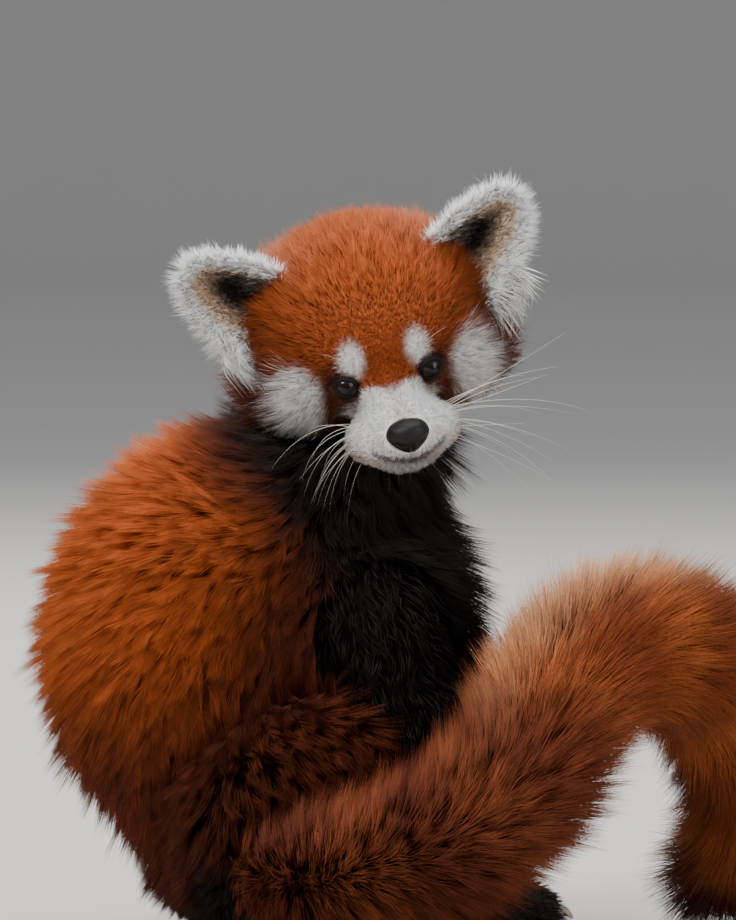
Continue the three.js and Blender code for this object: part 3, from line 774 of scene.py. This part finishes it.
def grow(name, roots, normals, way, length, colours, uv, draw, width, lean, clump, gather, bent, floor):
    """Joined tufts; colours holds one shade at the root, the middle and the tip of each."""
    count = len(roots)
    leaders = draw.choice(count, max(1, int(count / clump)), replace=False)
    tree = KDTree(len(leaders))
    for i, j in enumerate(leaders):
        tree.insert(roots[j], i)
    tree.balance()
    mine = np.array([tree.find(p)[1] for p in roots])
    lock_mood = swing(draw, (len(leaders), 4))[mine]
    mood = swing(draw, (count, 4))
    length = length * np.exp(LENGTH_SWING[0] * lock_mood[:, 0] + LENGTH_SWING[1] * mood[:, 0])
    across = unit(np.cross(normals, way) + 1e-6)
    sideways = TURN_SWING[0] * lock_mood[:, 1] + TURN_SWING[1] * mood[:, 1]
    way = unit(way + across * sideways[:, None])
    way = unit(way - normals * (way * normals).sum(1)[:, None] * 0.94)
    rise = np.radians(lean[0] + LEAN_SWING * mood[:, 2])[:, None]
    fall = np.radians(lean[1] + LEAN_SWING * lock_mood[:, 2])[:, None]
    half = 0.5 * length[:, None]
    middle = roots + half * (np.cos(rise) * way + np.sin(rise) * normals)
    tip = middle + half * (np.cos(fall) * way + np.sin(fall) * normals)
    lead = leaders[mine]
    spread = roots - roots[lead]
    middle = middle + (middle[lead] + spread * 0.8 - middle) * gather * 0.5
    tip = tip + (tip[lead] + spread * 0.3 - tip) * gather
    if floor:
        for spot, least in ((middle, 0.0012), (tip, 0.002)):
            short = np.maximum(np.minimum(least, 0.4 * length) - skin_field(spot), 0)
            low = short > 0
            spot[low] += slope(skin_field, spot[low]) * short[low][:, None]
    start = roots - normals * 0.0006
    thick = (width * MM * np.exp(0.2 * mood[:, 3]))[:, None]
    rings = ((start, middle - start, 0.5), (middle, tip - start, 0.4))[: 2 if bent else 1]
    verts = np.empty((count, 7 if bent else 4, 3))
    for i, (centre, heading, size) in enumerate(rings):
        side = unit(np.cross(heading, normals) + 1e-7)
        lift = unit(np.cross(side, heading))
        for k in range(3):
            angle = 2 * math.pi * k / 3 + math.pi / 2
            around = math.cos(angle) * side + 0.6 * math.sin(angle) * lift
            verts[:, 3 * i + k] = centre + thick * size * around
    verts[:, -1] = tip
    verts[:, :, 2] = np.maximum(verts[:, :, 2], 0.0003)
    pattern = BENT if bent else SPIKE
    faces = (np.arange(count)[:, None, None] * verts.shape[1] + pattern[None]).reshape(-1, 3)
    mesh = plain_mesh(name, verts.reshape(-1, 3), faces)
    glow = np.exp(0.14 * mood[:, 1] + 0.2 * lock_mood[:, 3])[:, None]
    root_shade, middle_shade, tip_shade = (c * glow for c in colours)
    shades = [root_shade] * 3 + ([middle_shade] * 3 if bent else []) + [tip_shade]
    write_colour(mesh, np.stack(shades, 1).reshape(-1, 3))
    patch = PATCH if bent else PATCH[[0, 1, 2, 6]]
    spots = (uv[:, None, :] + patch[None])[:, pattern.ravel()].reshape(-1, 2)
    layer = mesh.uv_layers.new(name="OFBake")
    layer.data.foreach_set("uv", np.clip(spots, 0, 1).astype(np.float32).ravel())
    mesh.materials.append(fur_material)
    piece = put(name, mesh)
    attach(piece, "root")
    return piece


skin_normals = point_normals(skin_mesh)
face_area = areas(corners)
middle_x, middle_y, middle_z = middles.T
middle_head = to_head(middles) / MM
rear = (skin_region == 0) & (middle_x < -0.01)
front = (skin_region == 0) & (middle_x >= -0.01)
in_head = skin_region == HEAD_REGION
face_front = in_head & (middle_head[:, 1] < 24)
under_chin = in_head & (middle_head[:, 1] >= 24) & (middle_head[:, 2] < -12)
crown = in_head & ~face_front & ~under_chin
legs, feet = np.isin(skin_region, FORELEGS), np.isin(skin_region, FEET)
tail = skin_region == TAIL_REGION
BODY, TAIL, SHORT = (46, 46), (48, 48), (28, 28)
# Each row is a piece, where it grows, its tufts, their width in mm, the lean of their lower and upper
# halves in degrees, the tufts to a lock, the pull of the lock, and whether a tuft has a bend.
COATS = (
    ("coat_flank_right_low", rear & (middle_y < 0) & (middle_z < 0.14), 38000, 0.64, BODY, 22, 0.62, False),
    ("coat_flank_right_high", rear & (middle_y < 0) & (middle_z >= 0.14), 49000, 0.6, BODY, 22, 0.62, False),
    ("coat_flank_left", rear & (middle_y >= 0), 22000, 1.05, BODY, 22, 0.62, False),
    ("coat_chest", front, 26000, 0.76, BODY, 12, 0.45, False),
    ("coat_thigh_right", skin_region == THIGHS[0], 17000, 0.6, BODY, 22, 0.62, False),
    ("coat_thigh_left", skin_region == THIGHS[1], 6000, 1.05, BODY, 12, 0.5, False),
    ("coat_tail_root", tail & (middle_x < 0.1), 32000, 0.58, TAIL, 10, 0.3, False),
    ("coat_tail_end", tail & (middle_x >= 0.1), 42000, 0.56, TAIL, 9, 0.25, False),
    ("coat_face", face_front, 45000, 0.42, SHORT, 5, 0.3, False),
    ("coat_crown", crown, 36000, 0.46, (30, 30), 6, 0.18, False),
    ("coat_jaw", under_chin, 5000, 0.8, (45, 16), 7, 0.4, True),
    ("coat_legs", legs, 4500, 1.1, (40, 12), 8, 0.4, True),
    ("coat_feet", feet, 8000, 0.75, SHORT, 7, 0.3, False),
)
for seed, (name, where, count, width, lean, clump, gather, bent) in enumerate(COATS):
    draw = np.random.default_rng(seed + 20)
    roots, normals, pick = scatter(corners, skin_normals[skin_faces], face_area * where, count, draw)
    region = skin_region[pick]
    if name == "coat_face":
        place = to_head(roots) / MM
        eye_gap = np.hypot(np.abs(place[:, 0]) - EYE_CENTRE[0], (place[:, 2] - EYE_CENTRE[2]) * 1.25)
        nose_gap = np.linalg.norm((place - NOSE[0]) / np.array(NOSE[1]), axis=1)
        mirror = np.abs(place) * [1, 0, 0] + place * [0, 1, 1]
        mouth_gap = np.min([capsule(mirror * MM, (a, b, 0, 0)) for a, b in zip(MOUTH[1:], MOUTH[2:])], 0)
        keep = (eye_gap > 6.2) & (nose_gap > 1.06) & (mouth_gap > 0.0014)
        roots, normals, region = roots[keep], normals[keep], region[keep]
    way, length = lie_of(roots, region), coat_length(roots, region)
    stray = draw.normal(0, 1, (len(roots), 3)) * length[:, None] * 0.12
    base = coat_colour(roots + (way + normals * 0.4) * length[:, None] * 0.5 + stray, region)
    tip = base * 1.5
    if name.startswith("coat_tail"):
        # Paler buff tips on the tail fur that faces up and towards the back: a painted highlight.
        high = ramp(normals[:, 2] - normals[:, 0] * 0.35 + draw.random(len(roots)) * 0.35, 0.7, 1.15)
        tip = tint(tip, BUFF_HIGHLIGHT, high * ramp(roots[:, 0], 0.06, 0.1) * 0.7)
    uv = unwrap(roots, region)
    # Roots painted far darker than the tips, painted shade deep in the coat, the more so where the fur is
    # long.
    shades = (base * 0.22, base * 0.75, tip)
    if not bent:
        shades = (base * (0.2 if length.mean() > 0.0135 else 0.5), base, tip)
    piece = grow(name, roots, normals, way, length, shades, uv, draw, width, lean, clump, gather, bent, True)

# Ears
# A furred cup of thin skin each side, round at the tip, white at the rim, black in the hollow and
# cream between. A longer white tuft hangs from the foot of the outer edge.
EAR_BASE = np.array((50.5, 48, 28))
EAR_UP = np.array((0.7, 0.04, 0.72)) / np.linalg.norm((0.7, 0.04, 0.72))
EAR_ACROSS = np.array((EAR_UP[2], 0, -EAR_UP[0])) / math.hypot(EAR_UP[2], EAR_UP[0])
EAR_BACK = np.cross(EAR_ACROSS, EAR_UP) * -1
EAR_LOW, EAR_TOP = -16, 47
EAR_ROWS, EAR_SIDES = 26, 40
EAR_TUFTS, HANGING_TUFTS = 15000, 700


def ear_width(h):
    t = np.clip((h - EAR_LOW) / (EAR_TOP - EAR_LOW), 0, 1)
    return 23.0 * np.sqrt(np.maximum(1 - t**2.6, 0.0)) * (0.92 + 0.08 * np.sin(t * 3)) + 0.3


def ear_depth(h):
    t = np.clip((h - EAR_LOW) / (EAR_TOP - EAR_LOW), 0, 1)
    return 15 * (1 - t) ** 0.8 + 1.0


def ear_spot(h, a, layer):
    cup = ear_depth(h) * (1 - a * a) + layer * 1.6 * np.sqrt(np.maximum(1 - a * a, 0))
    return (
        EAR_BASE
        + np.multiply.outer(h, EAR_UP)
        + np.multiply.outer(ear_width(h) * a, EAR_ACROSS)
        + np.multiply.outer(cup - 8, EAR_BACK)
    )


def ring_quads(rows, sides, closed=False):
    """Faces between rings of points; closed joins the last ring to the first."""
    quads = []
    for i in range(rows if closed else rows - 1):
        here, there = i * sides, (i + 1) % rows * sides
        for k in range(sides):
            beside = (k + 1) % sides
            quads.append((here + k, here + beside, there + beside, there + k))
    return quads


heights = EAR_LOW + (EAR_TOP - EAR_LOW) * np.sin(np.linspace(0, math.pi / 2, EAR_ROWS))
round_trip = np.linspace(0, 2 * math.pi, EAR_SIDES, endpoint=False)
ear_h = np.repeat(heights, EAR_SIDES)
ear_a = np.tile(np.cos(round_trip), EAR_ROWS)
ear_layer = np.tile(-np.sign(np.sin(round_trip) + 1e-9), EAR_ROWS)
ear_points = ear_spot(ear_h, ear_a, ear_layer)
ear_quads = ring_quads(EAR_ROWS, EAR_SIDES)
ear_faces = [(q[0], q[1], q[2]) for q in ear_quads] + [(q[0], q[2], q[3]) for q in ear_quads]
last = (EAR_ROWS - 1) * EAR_SIDES
ear_faces += [(0, k + 1, k) for k in range(1, EAR_SIDES - 1)]
ear_faces += [(last, last + k, last + k + 1) for k in range(1, EAR_SIDES - 1)]
ear_faces = np.array(ear_faces)


def ear_place(q):
    """Height up the ear, share of the way to its side edges, and distance in from the rim."""
    h = (q - EAR_BASE) @ EAR_UP
    a = ((q - EAR_BASE) @ EAR_ACROSS) / np.maximum(ear_width(h), 1)
    return h, a, np.minimum(ear_width(h) * (1 - np.abs(a)), (EAR_TOP - h) * 0.9)


def ear_colour(q, inside):
    h, a, edge = ear_place(q)
    cup = tint(np.tile(CREAM, (len(q), 1)), BLACK, blot(a, h, (-0.2, 16), (0.5, 18), 0.55))
    cup = tint(cup, SMOKE * 0.4, blot(a, h, (-0.55, 4), (0.3, 16), 0.6) * 0.7)
    cup = tint(cup, WHITE, 1 - ramp(edge, 3.5, 7))
    cup = tint(cup, WHITE, ramp(a, 0.5, 0.85))
    back = tint(np.tile(DEEP_RUST, (len(q), 1)), WHITE, 1 - ramp(edge, 3, 7))
    return np.where(inside[:, None], cup, back)


for side, name in ((1, "left"), (-1, "right")):
    flip = np.array([side, 1, 1])
    faces = ear_faces[:, ::side]
    places = from_head(ear_points * flip * MM)
    ear = plain_mesh("ear_skin_" + name, places, faces)
    ear.update()
    form = bmesh.new()
    form.from_mesh(ear)
    bmesh.ops.recalc_face_normals(form, faces=form.faces)
    form.to_mesh(ear)
    form.free()
    ear.polygons.foreach_set("use_smooth", np.full(len(ear.polygons), True))
    loops = np.empty(len(ear.loops), dtype=np.int32)
    ear.loops.foreach_get("vertex_index", loops)
    faces = loops.reshape(-1, 3)
    normals = point_normals(ear)
    inside = ear_layer < 0
    write_colour(ear, ear_colour(ear_points, inside) * 0.85)
    turnings = np.tile(np.arange(EAR_SIDES) / EAR_SIDES, EAR_ROWS)
    climb = np.repeat(np.linspace(0, 1, EAR_ROWS), EAR_SIDES)
    ear_uv = 0.02 + 0.94 * np.stack([turnings, climb], 1)
    loop_uv = ear_uv[faces]
    seam = (loop_uv[:, :, 0].max(1) - loop_uv[:, :, 0].min(1)) > 0.5
    loop_uv[:, :, 0] += np.where(seam[:, None] & (loop_uv[:, :, 0] < 0.5), 0.94, 0)
    layer = ear.uv_layers.new(name="OFBake")
    layer.data.foreach_set("uv", loop_uv.reshape(-1, 2).astype(np.float32).ravel())
    ear.materials.append(skin_material)
    shell = put("ear_skin_" + name, ear)
    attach(shell, "root")
    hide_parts("ear_" + name)

    draw = np.random.default_rng(60 + side)
    triangles = places[faces]
    roots, root_normals, pick = scatter(triangles, normals[faces], areas(triangles), EAR_TUFTS, draw)
    q = to_head(roots) / MM * flip
    h, a, edge = ear_place(q)
    rim = 1 - ramp(edge, 1.5, 6)
    out = np.multiply.outer(ramp(h, -10, 40) * 0.9 + 0.5, EAR_UP) + np.multiply.outer(a * 1.1, EAR_ACROSS)
    out = out - np.multiply.outer(0.25 * rim, EAR_BACK)
    way = unit(from_head(out * flip) - HEAD_PLACE)
    length = (7.6 + 1.5 * rim + 4 * ramp(a, 0.3, 0.9) * (h < 10)) * MM
    where_in = inside[faces[pick]].mean(1) > 0.5
    base = ear_colour(q + out * (length / MM)[:, None] * 0.25, where_in)
    uv = loop_uv[pick].mean(1) % 1.0
    shades = (np.minimum(base * k, 0.98) for k in (1.05, 1.1, 1.25))
    shape = {"width": 0.52, "lean": (31, 31), "clump": 5, "gather": 0.2, "bent": False, "floor": False}
    fur = grow("coat_ear_" + name, roots, root_normals, way, length, shades, uv, draw, **shape)

    count = HANGING_TUFTS
    spread = draw.random((count, 2))
    q = EAR_BASE + np.multiply.outer(14 - 22 * spread[:, 0], EAR_UP)
    q = q + np.multiply.outer(18 + 5 * spread[:, 1], EAR_ACROSS) + [0, -6, 0]
    q = q + draw.normal(0, 1.6, (count, 3))
    hang = np.array((0.62, -0.1, -0.78)) if side > 0 else np.array((0.3, -0.05, -0.95))
    way = unit(from_head(np.tile(hang, (count, 1)) * flip) - HEAD_PLACE)
    outward = unit(from_head(np.tile(EAR_ACROSS, (count, 1)) * flip) - HEAD_PLACE)
    roots = from_head(q * flip * MM)
    length = (17 + 9 * draw.random(count)) * MM
    white = np.tile(WHITE, (count, 1))
    uv = np.stack([0.4 + 0.1 * spread[:, 0], 0.1 + 0.1 * spread[:, 1]], 1)
    # Roots a little darker than the tips: painted shade deep in the tuft.
    shades = (white * 0.7, white * 0.95, white * 1.05)
    shape = {"width": 0.8, "lean": (24, 4), "clump": 12, "gather": 0.45, "bent": True, "floor": False}
    tuft = grow("ear_tuft_" + name, roots, outward, way, length, shades, uv, draw, **shape)

# Eyes
# Round wet eyeballs, dark brown with a black pupil, each swelling a little in front and set in a
# hollow of the face.
eye_material, eye_tree, eye_shader = finish("wet eye", 0.06, specular=0.3)
eye_wire = Wire(eye_tree, None)
eye_colour = eye_wire.node("ShaderNodeAttribute", {"attribute_name": "coat"})
eye_tree.links.new(eye_colour.outputs["Color"], eye_shader.inputs["Base Color"])
EYE_TILT = math.radians(28)
EYE_EDGE = np.array((0.012, 0.009, 0.008))
IRIS_BROWN = np.array((0.009, 0.004, 0.002))
PUPIL_BLACK = np.array((0.001, 0.001, 0.001))


def moved_ball(name, form, places):
    """The ball of form as a smooth mesh, with its points moved to places."""
    for vert, spot in zip(form.verts, places):
        vert.co = spot
    mesh = bpy.data.meshes.new(name)
    form.to_mesh(mesh)
    form.free()
    mesh.polygons.foreach_set("use_smooth", np.full(len(mesh.polygons), True))
    return mesh


for side, name in ((1, "left"), (-1, "right")):
    gaze = np.array((0.10 * side, -1.0, -0.10))
    gaze /= np.linalg.norm(gaze)
    form = bmesh.new()
    bmesh.ops.create_uvsphere(form, u_segments=64, v_segments=48, radius=EYE_RADIUS)
    spots = np.array([v.co for v in form.verts])
    angle = np.degrees(np.arccos(np.clip(unit(spots) @ gaze, -1, 1)))
    spots = spots * (1 + 0.03 * (1 - ramp(angle, 10, 30)))[:, None]
    iris = 1 - ramp(angle, 40, 44)
    shade = tint(np.tile(EYE_EDGE, (len(spots), 1)), IRIS_BROWN, iris)
    shade = tint(shade, PUPIL_BLACK, 1 - ramp(angle, 20, 24))
    placed = from_head((spots + np.array(EYE_CENTRE) * [side, 1, 1]) * MM)
    ball = moved_ball("eyeball_" + name, form, placed)
    write_colour(ball, shade)
    ball.materials.append(eye_material)
    eye = put("eyeball_" + name, ball)
    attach(eye, "root")
    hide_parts("eye_" + name)

# Eyelids
# Black rims of bare skin round each eye, each with a slanting almond opening and a rounded edge.
# They slope back into the face under short fur that lies away from the eye.
lid_material = coat_material("bare dark skin", 0.66, 0.3)
LID_WIDTH, LID_UPPER, LID_LOWER = 58, 33, 29
LID_TURNS, LID_BACK = 56, 1.9
LID_AIM = math.radians(8)
LID_TUFTS, LID_TUFT_LENGTH = 2600, 2.9
# Across a lid: the angle past the opening, the share of the way to the back, and the radius in mm.
LID_PROFILE = (
    (0.05, 0, 6.3),
    (0, 0, 6.46),
    (0.02, 0, 6.7),
    (0.10, 0, 6.95),
    (0, 0.3, 7.05),
    (0, 0.65, 7.05),
    (0, 1, 7.05),
    (0, 1, 6.2),
)


def lid_opening(t):
    tall = np.where(np.sin(t) > 0, LID_UPPER, LID_LOWER)
    return np.radians(LID_WIDTH * tall / np.hypot(tall * np.cos(t), LID_WIDTH * np.sin(t)))


def lid_place(polar, t):
    """A place on a ball about the eye, by its angle off the gaze and its turn round it."""
    x, z = np.sin(polar) * np.cos(t), np.sin(polar) * np.sin(t)
    along = x * math.cos(EYE_TILT) - z * math.sin(EYE_TILT)
    up = x * math.sin(EYE_TILT) + z * math.cos(EYE_TILT)
    ahead = up * math.sin(LID_AIM) - np.cos(polar) * math.cos(LID_AIM)
    up = up * math.cos(LID_AIM) + np.cos(polar) * math.sin(LID_AIM)
    return np.stack([along, ahead, up], -1)


for side, name in ((1, "left"), (-1, "right")):
    verts, shades = [], []
    for k in range(LID_TURNS):
        t = 2 * math.pi * k / LID_TURNS
        opening = lid_opening(t)
        for extra, share, reach in LID_PROFILE:
            polar = opening + extra + (LID_BACK - opening) * share
            verts.append((lid_place(polar, t) * reach + EYE_CENTRE) * [side, 1, 1])
            shades.append(BLACK * (0.45 if polar < opening + 0.35 else 0.9))
    quads = np.array(ring_quads(LID_TURNS, len(LID_PROFILE), closed=True))[:, ::side]
    mesh = plain_mesh("eyelids_" + name, from_head(np.array(verts) * MM), quads)
    write_colour(mesh, np.array(shades))
    mesh.materials.append(lid_material)
    lids = put("eyelids_" + name, mesh)
    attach(lids, "root")

    draw = np.random.default_rng(80 + side)
    t = draw.random(LID_TUFTS) * 2 * math.pi
    start = lid_opening(t) + 0.24
    polar = start + (1.75 - start) * np.sqrt(draw.random(LID_TUFTS))
    q = lid_place(polar, t)
    out = lid_place(polar + 0.1, t) - q
    roots = from_head((q * 7.0 + EYE_CENTRE) * [side, 1, 1] * MM)
    normals = unit(from_head(q * [side, 1, 1]) - HEAD_PLACE)
    way = unit(from_head(out * [side, 1, 1]) - HEAD_PLACE)
    length = np.full(LID_TUFTS, LID_TUFT_LENGTH * MM)
    region = np.full(LID_TUFTS, HEAD_REGION)
    base = coat_colour(roots + way * 0.0012, region)
    uv = unwrap(roots, region)
    # Roots darker than the tips: painted shade deep in the short fur.
    shades = (base * 0.5, base, base * 1.35)
    shape = {"width": 0.36, "lean": (24, 24), "clump": 5, "gather": 0.3, "bent": False, "floor": False}
    lid_fur = grow("eyelid_fur_" + name, roots, normals, way, length, shades, uv, draw, **shape)

# Nose
# A pad of moist pebbled skin, broad on top and narrow below, with a comma-shaped nostril each side
# and a groove down the middle of its lower half.
nose_material, nose_tree, nose_shader = finish("moist nose skin", 0.46, specular=0.26)
nose_shader.inputs["Base Color"].default_value = (0.006, 0.005, 0.005, 1)
nose_wire = Wire(nose_tree, None)
nose_place = Wire(nose_tree, nose_wire.node("ShaderNodeTexCoord").outputs["Object"])
pebbles = nose_wire.node("ShaderNodeTexVoronoi", Vector=nose_place, Scale=1500.0)
nose_relief = nose_wire.node(
    "ShaderNodeBump", Height=Wire(nose_tree, pebbles.outputs["Distance"]), Strength=0.35, Distance=0.0003
)
nose_tree.links.new(nose_relief.outputs[0], nose_shader.inputs["Normal"])
form = bmesh.new()
bmesh.ops.create_uvsphere(form, u_segments=120, v_segments=90, radius=1)
spots = np.array([v.co for v in form.verts])
narrow = 1 - 0.30 * ramp(-spots[:, 2], -0.25, 1.0)
flat_top = 1 - 0.12 * ramp(spots[:, 2], 0.5, 1)
spots = spots * (np.array(NOSE[1]) + 0.4) * np.stack([narrow, np.ones(len(spots)), flat_top], 1)
facing = ramp(-spots[:, 1], 0, 3)
centre_line = np.exp(-((spots[:, 0] / 0.6) ** 2)) * ramp(-spots[:, 2], 0, 3)
spots[:, 1] += 0.7 * centre_line * facing
for side in (-1, 1):
    for x, z, wide, deep in ((4.0, -2.6, 1.1, 1.5), (5.4, -2.2, 1.0, 1.2), (6.8, -1.2, 0.9, 0.8)):
        near = np.exp(-(((spots[:, 0] - side * x) / wide) ** 2) - ((spots[:, 2] - z) / (wide * 0.8)) ** 2)
        spots[:, 1] += deep * near * facing
placed = from_head((spots + NOSE[0] + [0, -1.5, 0]) * MM)
pad = moved_ball("nose_pad", form, placed)
pad.materials.append(nose_material)
nose = put("nose_pad", pad)
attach(nose, "root")
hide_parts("nose")

# Whiskers
# Long tapering white bristles from each side of the muzzle, drooping outwards, with shorter ones
# above the eyes and on the chin.
whisker_material, _, whisker_shader = finish("whisker bristle", 0.3, specular=0.5)
whisker_shader.inputs["Base Color"].default_value = (0.86, 0.82, 0.74, 1)
WHISKER_STEPS, WHISKER_SIDES = 14, 5


def rod_faces(first, steps, sides):
    """Triangles of a closed rod whose rings of points begin with point first."""
    faces = []
    for a, b, c, d in np.array(ring_quads(steps + 1, sides)) + first:
        faces += [(a, b, c), (a, c, d)]
    last = first + steps * sides
    faces += [(first, first + j + 1, first + j) for j in range(1, sides - 1)]
    return faces + [(last, last + j, last + j + 1) for j in range(1, sides - 1)]


draw = np.random.default_rng(5)
bristles = []
for side in (-1, 1):
    for row in range(4):
        for k in range(4):
            root = (17 + 2.4 * k, -27 + 4.6 * k, -15 - 3.0 * row)
            aim = (0.95, -0.30 + 0.12 * k, 0.30 - 0.24 * row)
            droop = 0.35 + 0.15 * row if side > 0 else 1.0 + 0.2 * row
            reach = 60 - 4 * row + 3 * k if side > 0 else 44 - 3 * row
            bristles.append((side, root, aim, reach, droop, 0.12))
    for k in range(3):
        bristles.append((side, (15 + 2.5 * k, -6, 13 + k), (0.35 + 0.2 * k, -0.5, 0.8), 17, 0.4, 0.08))
for k in range(9):
    bristles.append((1, (2.6 * (k - 4), -22, -40), (0.10 * (k - 4), -0.5, -0.9), 9, 0.2, 0.07))
verts, faces = [], []
for side, root, aim, reach, droop, thick in bristles:
    aim = np.array(aim) + draw.normal(0, 0.10, 3)
    aim /= np.linalg.norm(aim)
    reach = reach * (1 + 0.14 * draw.normal())
    bow = draw.normal(0, 0.12, 3)
    first = len(verts)
    for i in range(WHISKER_STEPS + 1):
        t = i / WHISKER_STEPS
        q = np.array(root) + aim * reach * t * (1 - 0.18 * t * droop)
        q = q + (np.array((0, 0.25, -1)) * droop * 0.42 + bow) * reach * t * t
        size = thick * (1 - 0.92 * t) + 0.012
        for j in range(WHISKER_SIDES):
            turn = 2 * math.pi * j / WHISKER_SIDES
            spot = q + size * (math.cos(turn) * np.array((0, 1, 0)) + math.sin(turn) * np.array((0, 0, 1)))
            verts.append(spot * [side, 1, 1])
    faces += rod_faces(first, WHISKER_STEPS, WHISKER_SIDES)
mesh = plain_mesh("whiskers", from_head(np.array(verts) * MM), np.array(faces))
mesh.materials.append(whisker_material)
whiskers = put("whiskers", mesh)
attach(whiskers, "root")

# Claws
# Five short curved horn claws at the front of each foot, half sunk in the fur of the toes.
claw_material, _, claw_shader = finish("claw horn", 0.35, specular=0.4)
claw_shader.inputs["Base Color"].default_value = (0.42, 0.35, 0.27, 1)
verts, faces = [], []
CLAW_STEPS, CLAW_SIDES = 7, 8
for mass in (HIND_FOOT, FOREPAW):
    for side in (-1, 1):
        for k in range(-2, 3):
            toe = np.array(mass[1]) + (11 - k * k, k * TOE_SPREAD, -1.5)
            first = len(verts)
            for i in range(CLAW_STEPS + 1):
                t = i / CLAW_STEPS
                bend = 1.35 * t
                q = toe + np.array((9 * math.sin(bend), 0, 3 - 8 * (1 - math.cos(bend))))
                size = 1.7 * (1 - t) ** 0.7 + 0.12
                for j in range(CLAW_SIDES):
                    turn = 2 * math.pi * j / CLAW_SIDES
                    lean = 0.6 * math.sin(turn) * math.sin(bend)
                    spot = q + size * np.array((lean, 0.7 * math.cos(turn), math.sin(turn)))
                    verts.append(spot * [1, side, 1])
            faces += rod_faces(first, CLAW_STEPS, CLAW_SIDES)
verts = np.array(verts)
verts[:, 2] = np.maximum(verts[:, 2], 0.4)
mesh = plain_mesh("claws", verts * MM, np.array(faces))
mesh.materials.append(claw_material)
claws = put("claws", mesh)
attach(claws, "root")


# Studio
# A pale floor that curves up into a wall all round, broad soft lights, and the camera at the
# photograph's angle.
floor_radius, wall_bend, wall_top = 11.0, 3.0, 7.0
profile = [(0.02, 0.0), (floor_radius, 0.0)]
for i in range(1, 13):
    angle = math.pi / 2 * i / 12
    profile.append((floor_radius + wall_bend * math.sin(angle), wall_bend * (1 - math.cos(angle))))
profile.append((floor_radius + wall_bend, wall_top))
ring = 96
bowl_verts = [
    (r * math.cos(2 * math.pi * k / ring), r * math.sin(2 * math.pi * k / ring), z)
    for r, z in profile
    for k in range(ring)
]
bowl_faces = ring_quads(len(profile), ring)
bowl_verts.append((0, 0, 0))
centre_faces = [(len(bowl_verts) - 1, (k + 1) % ring, k) for k in range(ring)]
bowl_mesh = bpy.data.meshes.new("studio")
bowl_mesh.from_pydata(bowl_verts, [], [f[::-1] for f in bowl_faces] + [f[::-1] for f in centre_faces])
bowl_mesh.polygons.foreach_set("use_smooth", np.full(len(bowl_mesh.polygons), True))
bowl = put("studio_floor", bowl_mesh)
bowl_material, _, bowl_shader = finish("pale studio paint", 0.9)
bowl_shader.inputs["Base Color"].default_value = (0.62, 0.60, 0.57, 1)
bowl_mesh.materials.append(bowl_material)

world = bpy.data.worlds.new("studio")
world.use_nodes = True
world.node_tree.nodes["Background"].inputs["Color"].default_value = (0.9, 0.93, 1.0, 1)
world.node_tree.nodes["Background"].inputs["Strength"].default_value = 0.45
bpy.context.scene.world = world
for name, place, size, power in (
    ("key", (-1.6, -2.0, 2.6), 1.6, 104),
    ("fill", (2.4, -2.0, 1.4), 2.2, 42),
    ("back", (-0.6, 2.4, 2.4), 1.6, 80),
    ("top", (0.2, 0.0, 3.2), 2.0, 52),
):
    light = bpy.data.lights.new(name, "AREA")
    light.shape = "DISK"
    light.size = size
    light.energy = power
    lamp = bpy.data.objects.new(name, light)
    lamp.location = place
    lamp.rotation_euler = (Vector((0, 0, 0.18)) - Vector(place)).to_track_quat("-Z", "Y").to_euler()
    bpy.context.scene.collection.objects.link(lamp)

VIEW_CENTRE = Vector(metres((14, 0, 242.5)))
VIEW_HEIGHT = 0.46
DISTANCE, ELEVATION = 4.0, math.radians(3)
camera = bpy.data.cameras.new("camera")
camera.sensor_width = 36
camera.sensor_fit = "AUTO"
camera.lens = 36 * DISTANCE / VIEW_HEIGHT
camera_rig = bpy.data.objects.new("camera", camera)
look = Vector((0, math.cos(ELEVATION), -math.sin(ELEVATION)))
camera_rig.location = VIEW_CENTRE - look * DISTANCE
camera_rig.rotation_euler = look.to_track_quat("-Z", "Y").to_euler()
bpy.context.scene.collection.objects.link(camera_rig)
bpy.context.scene.camera = camera_rig
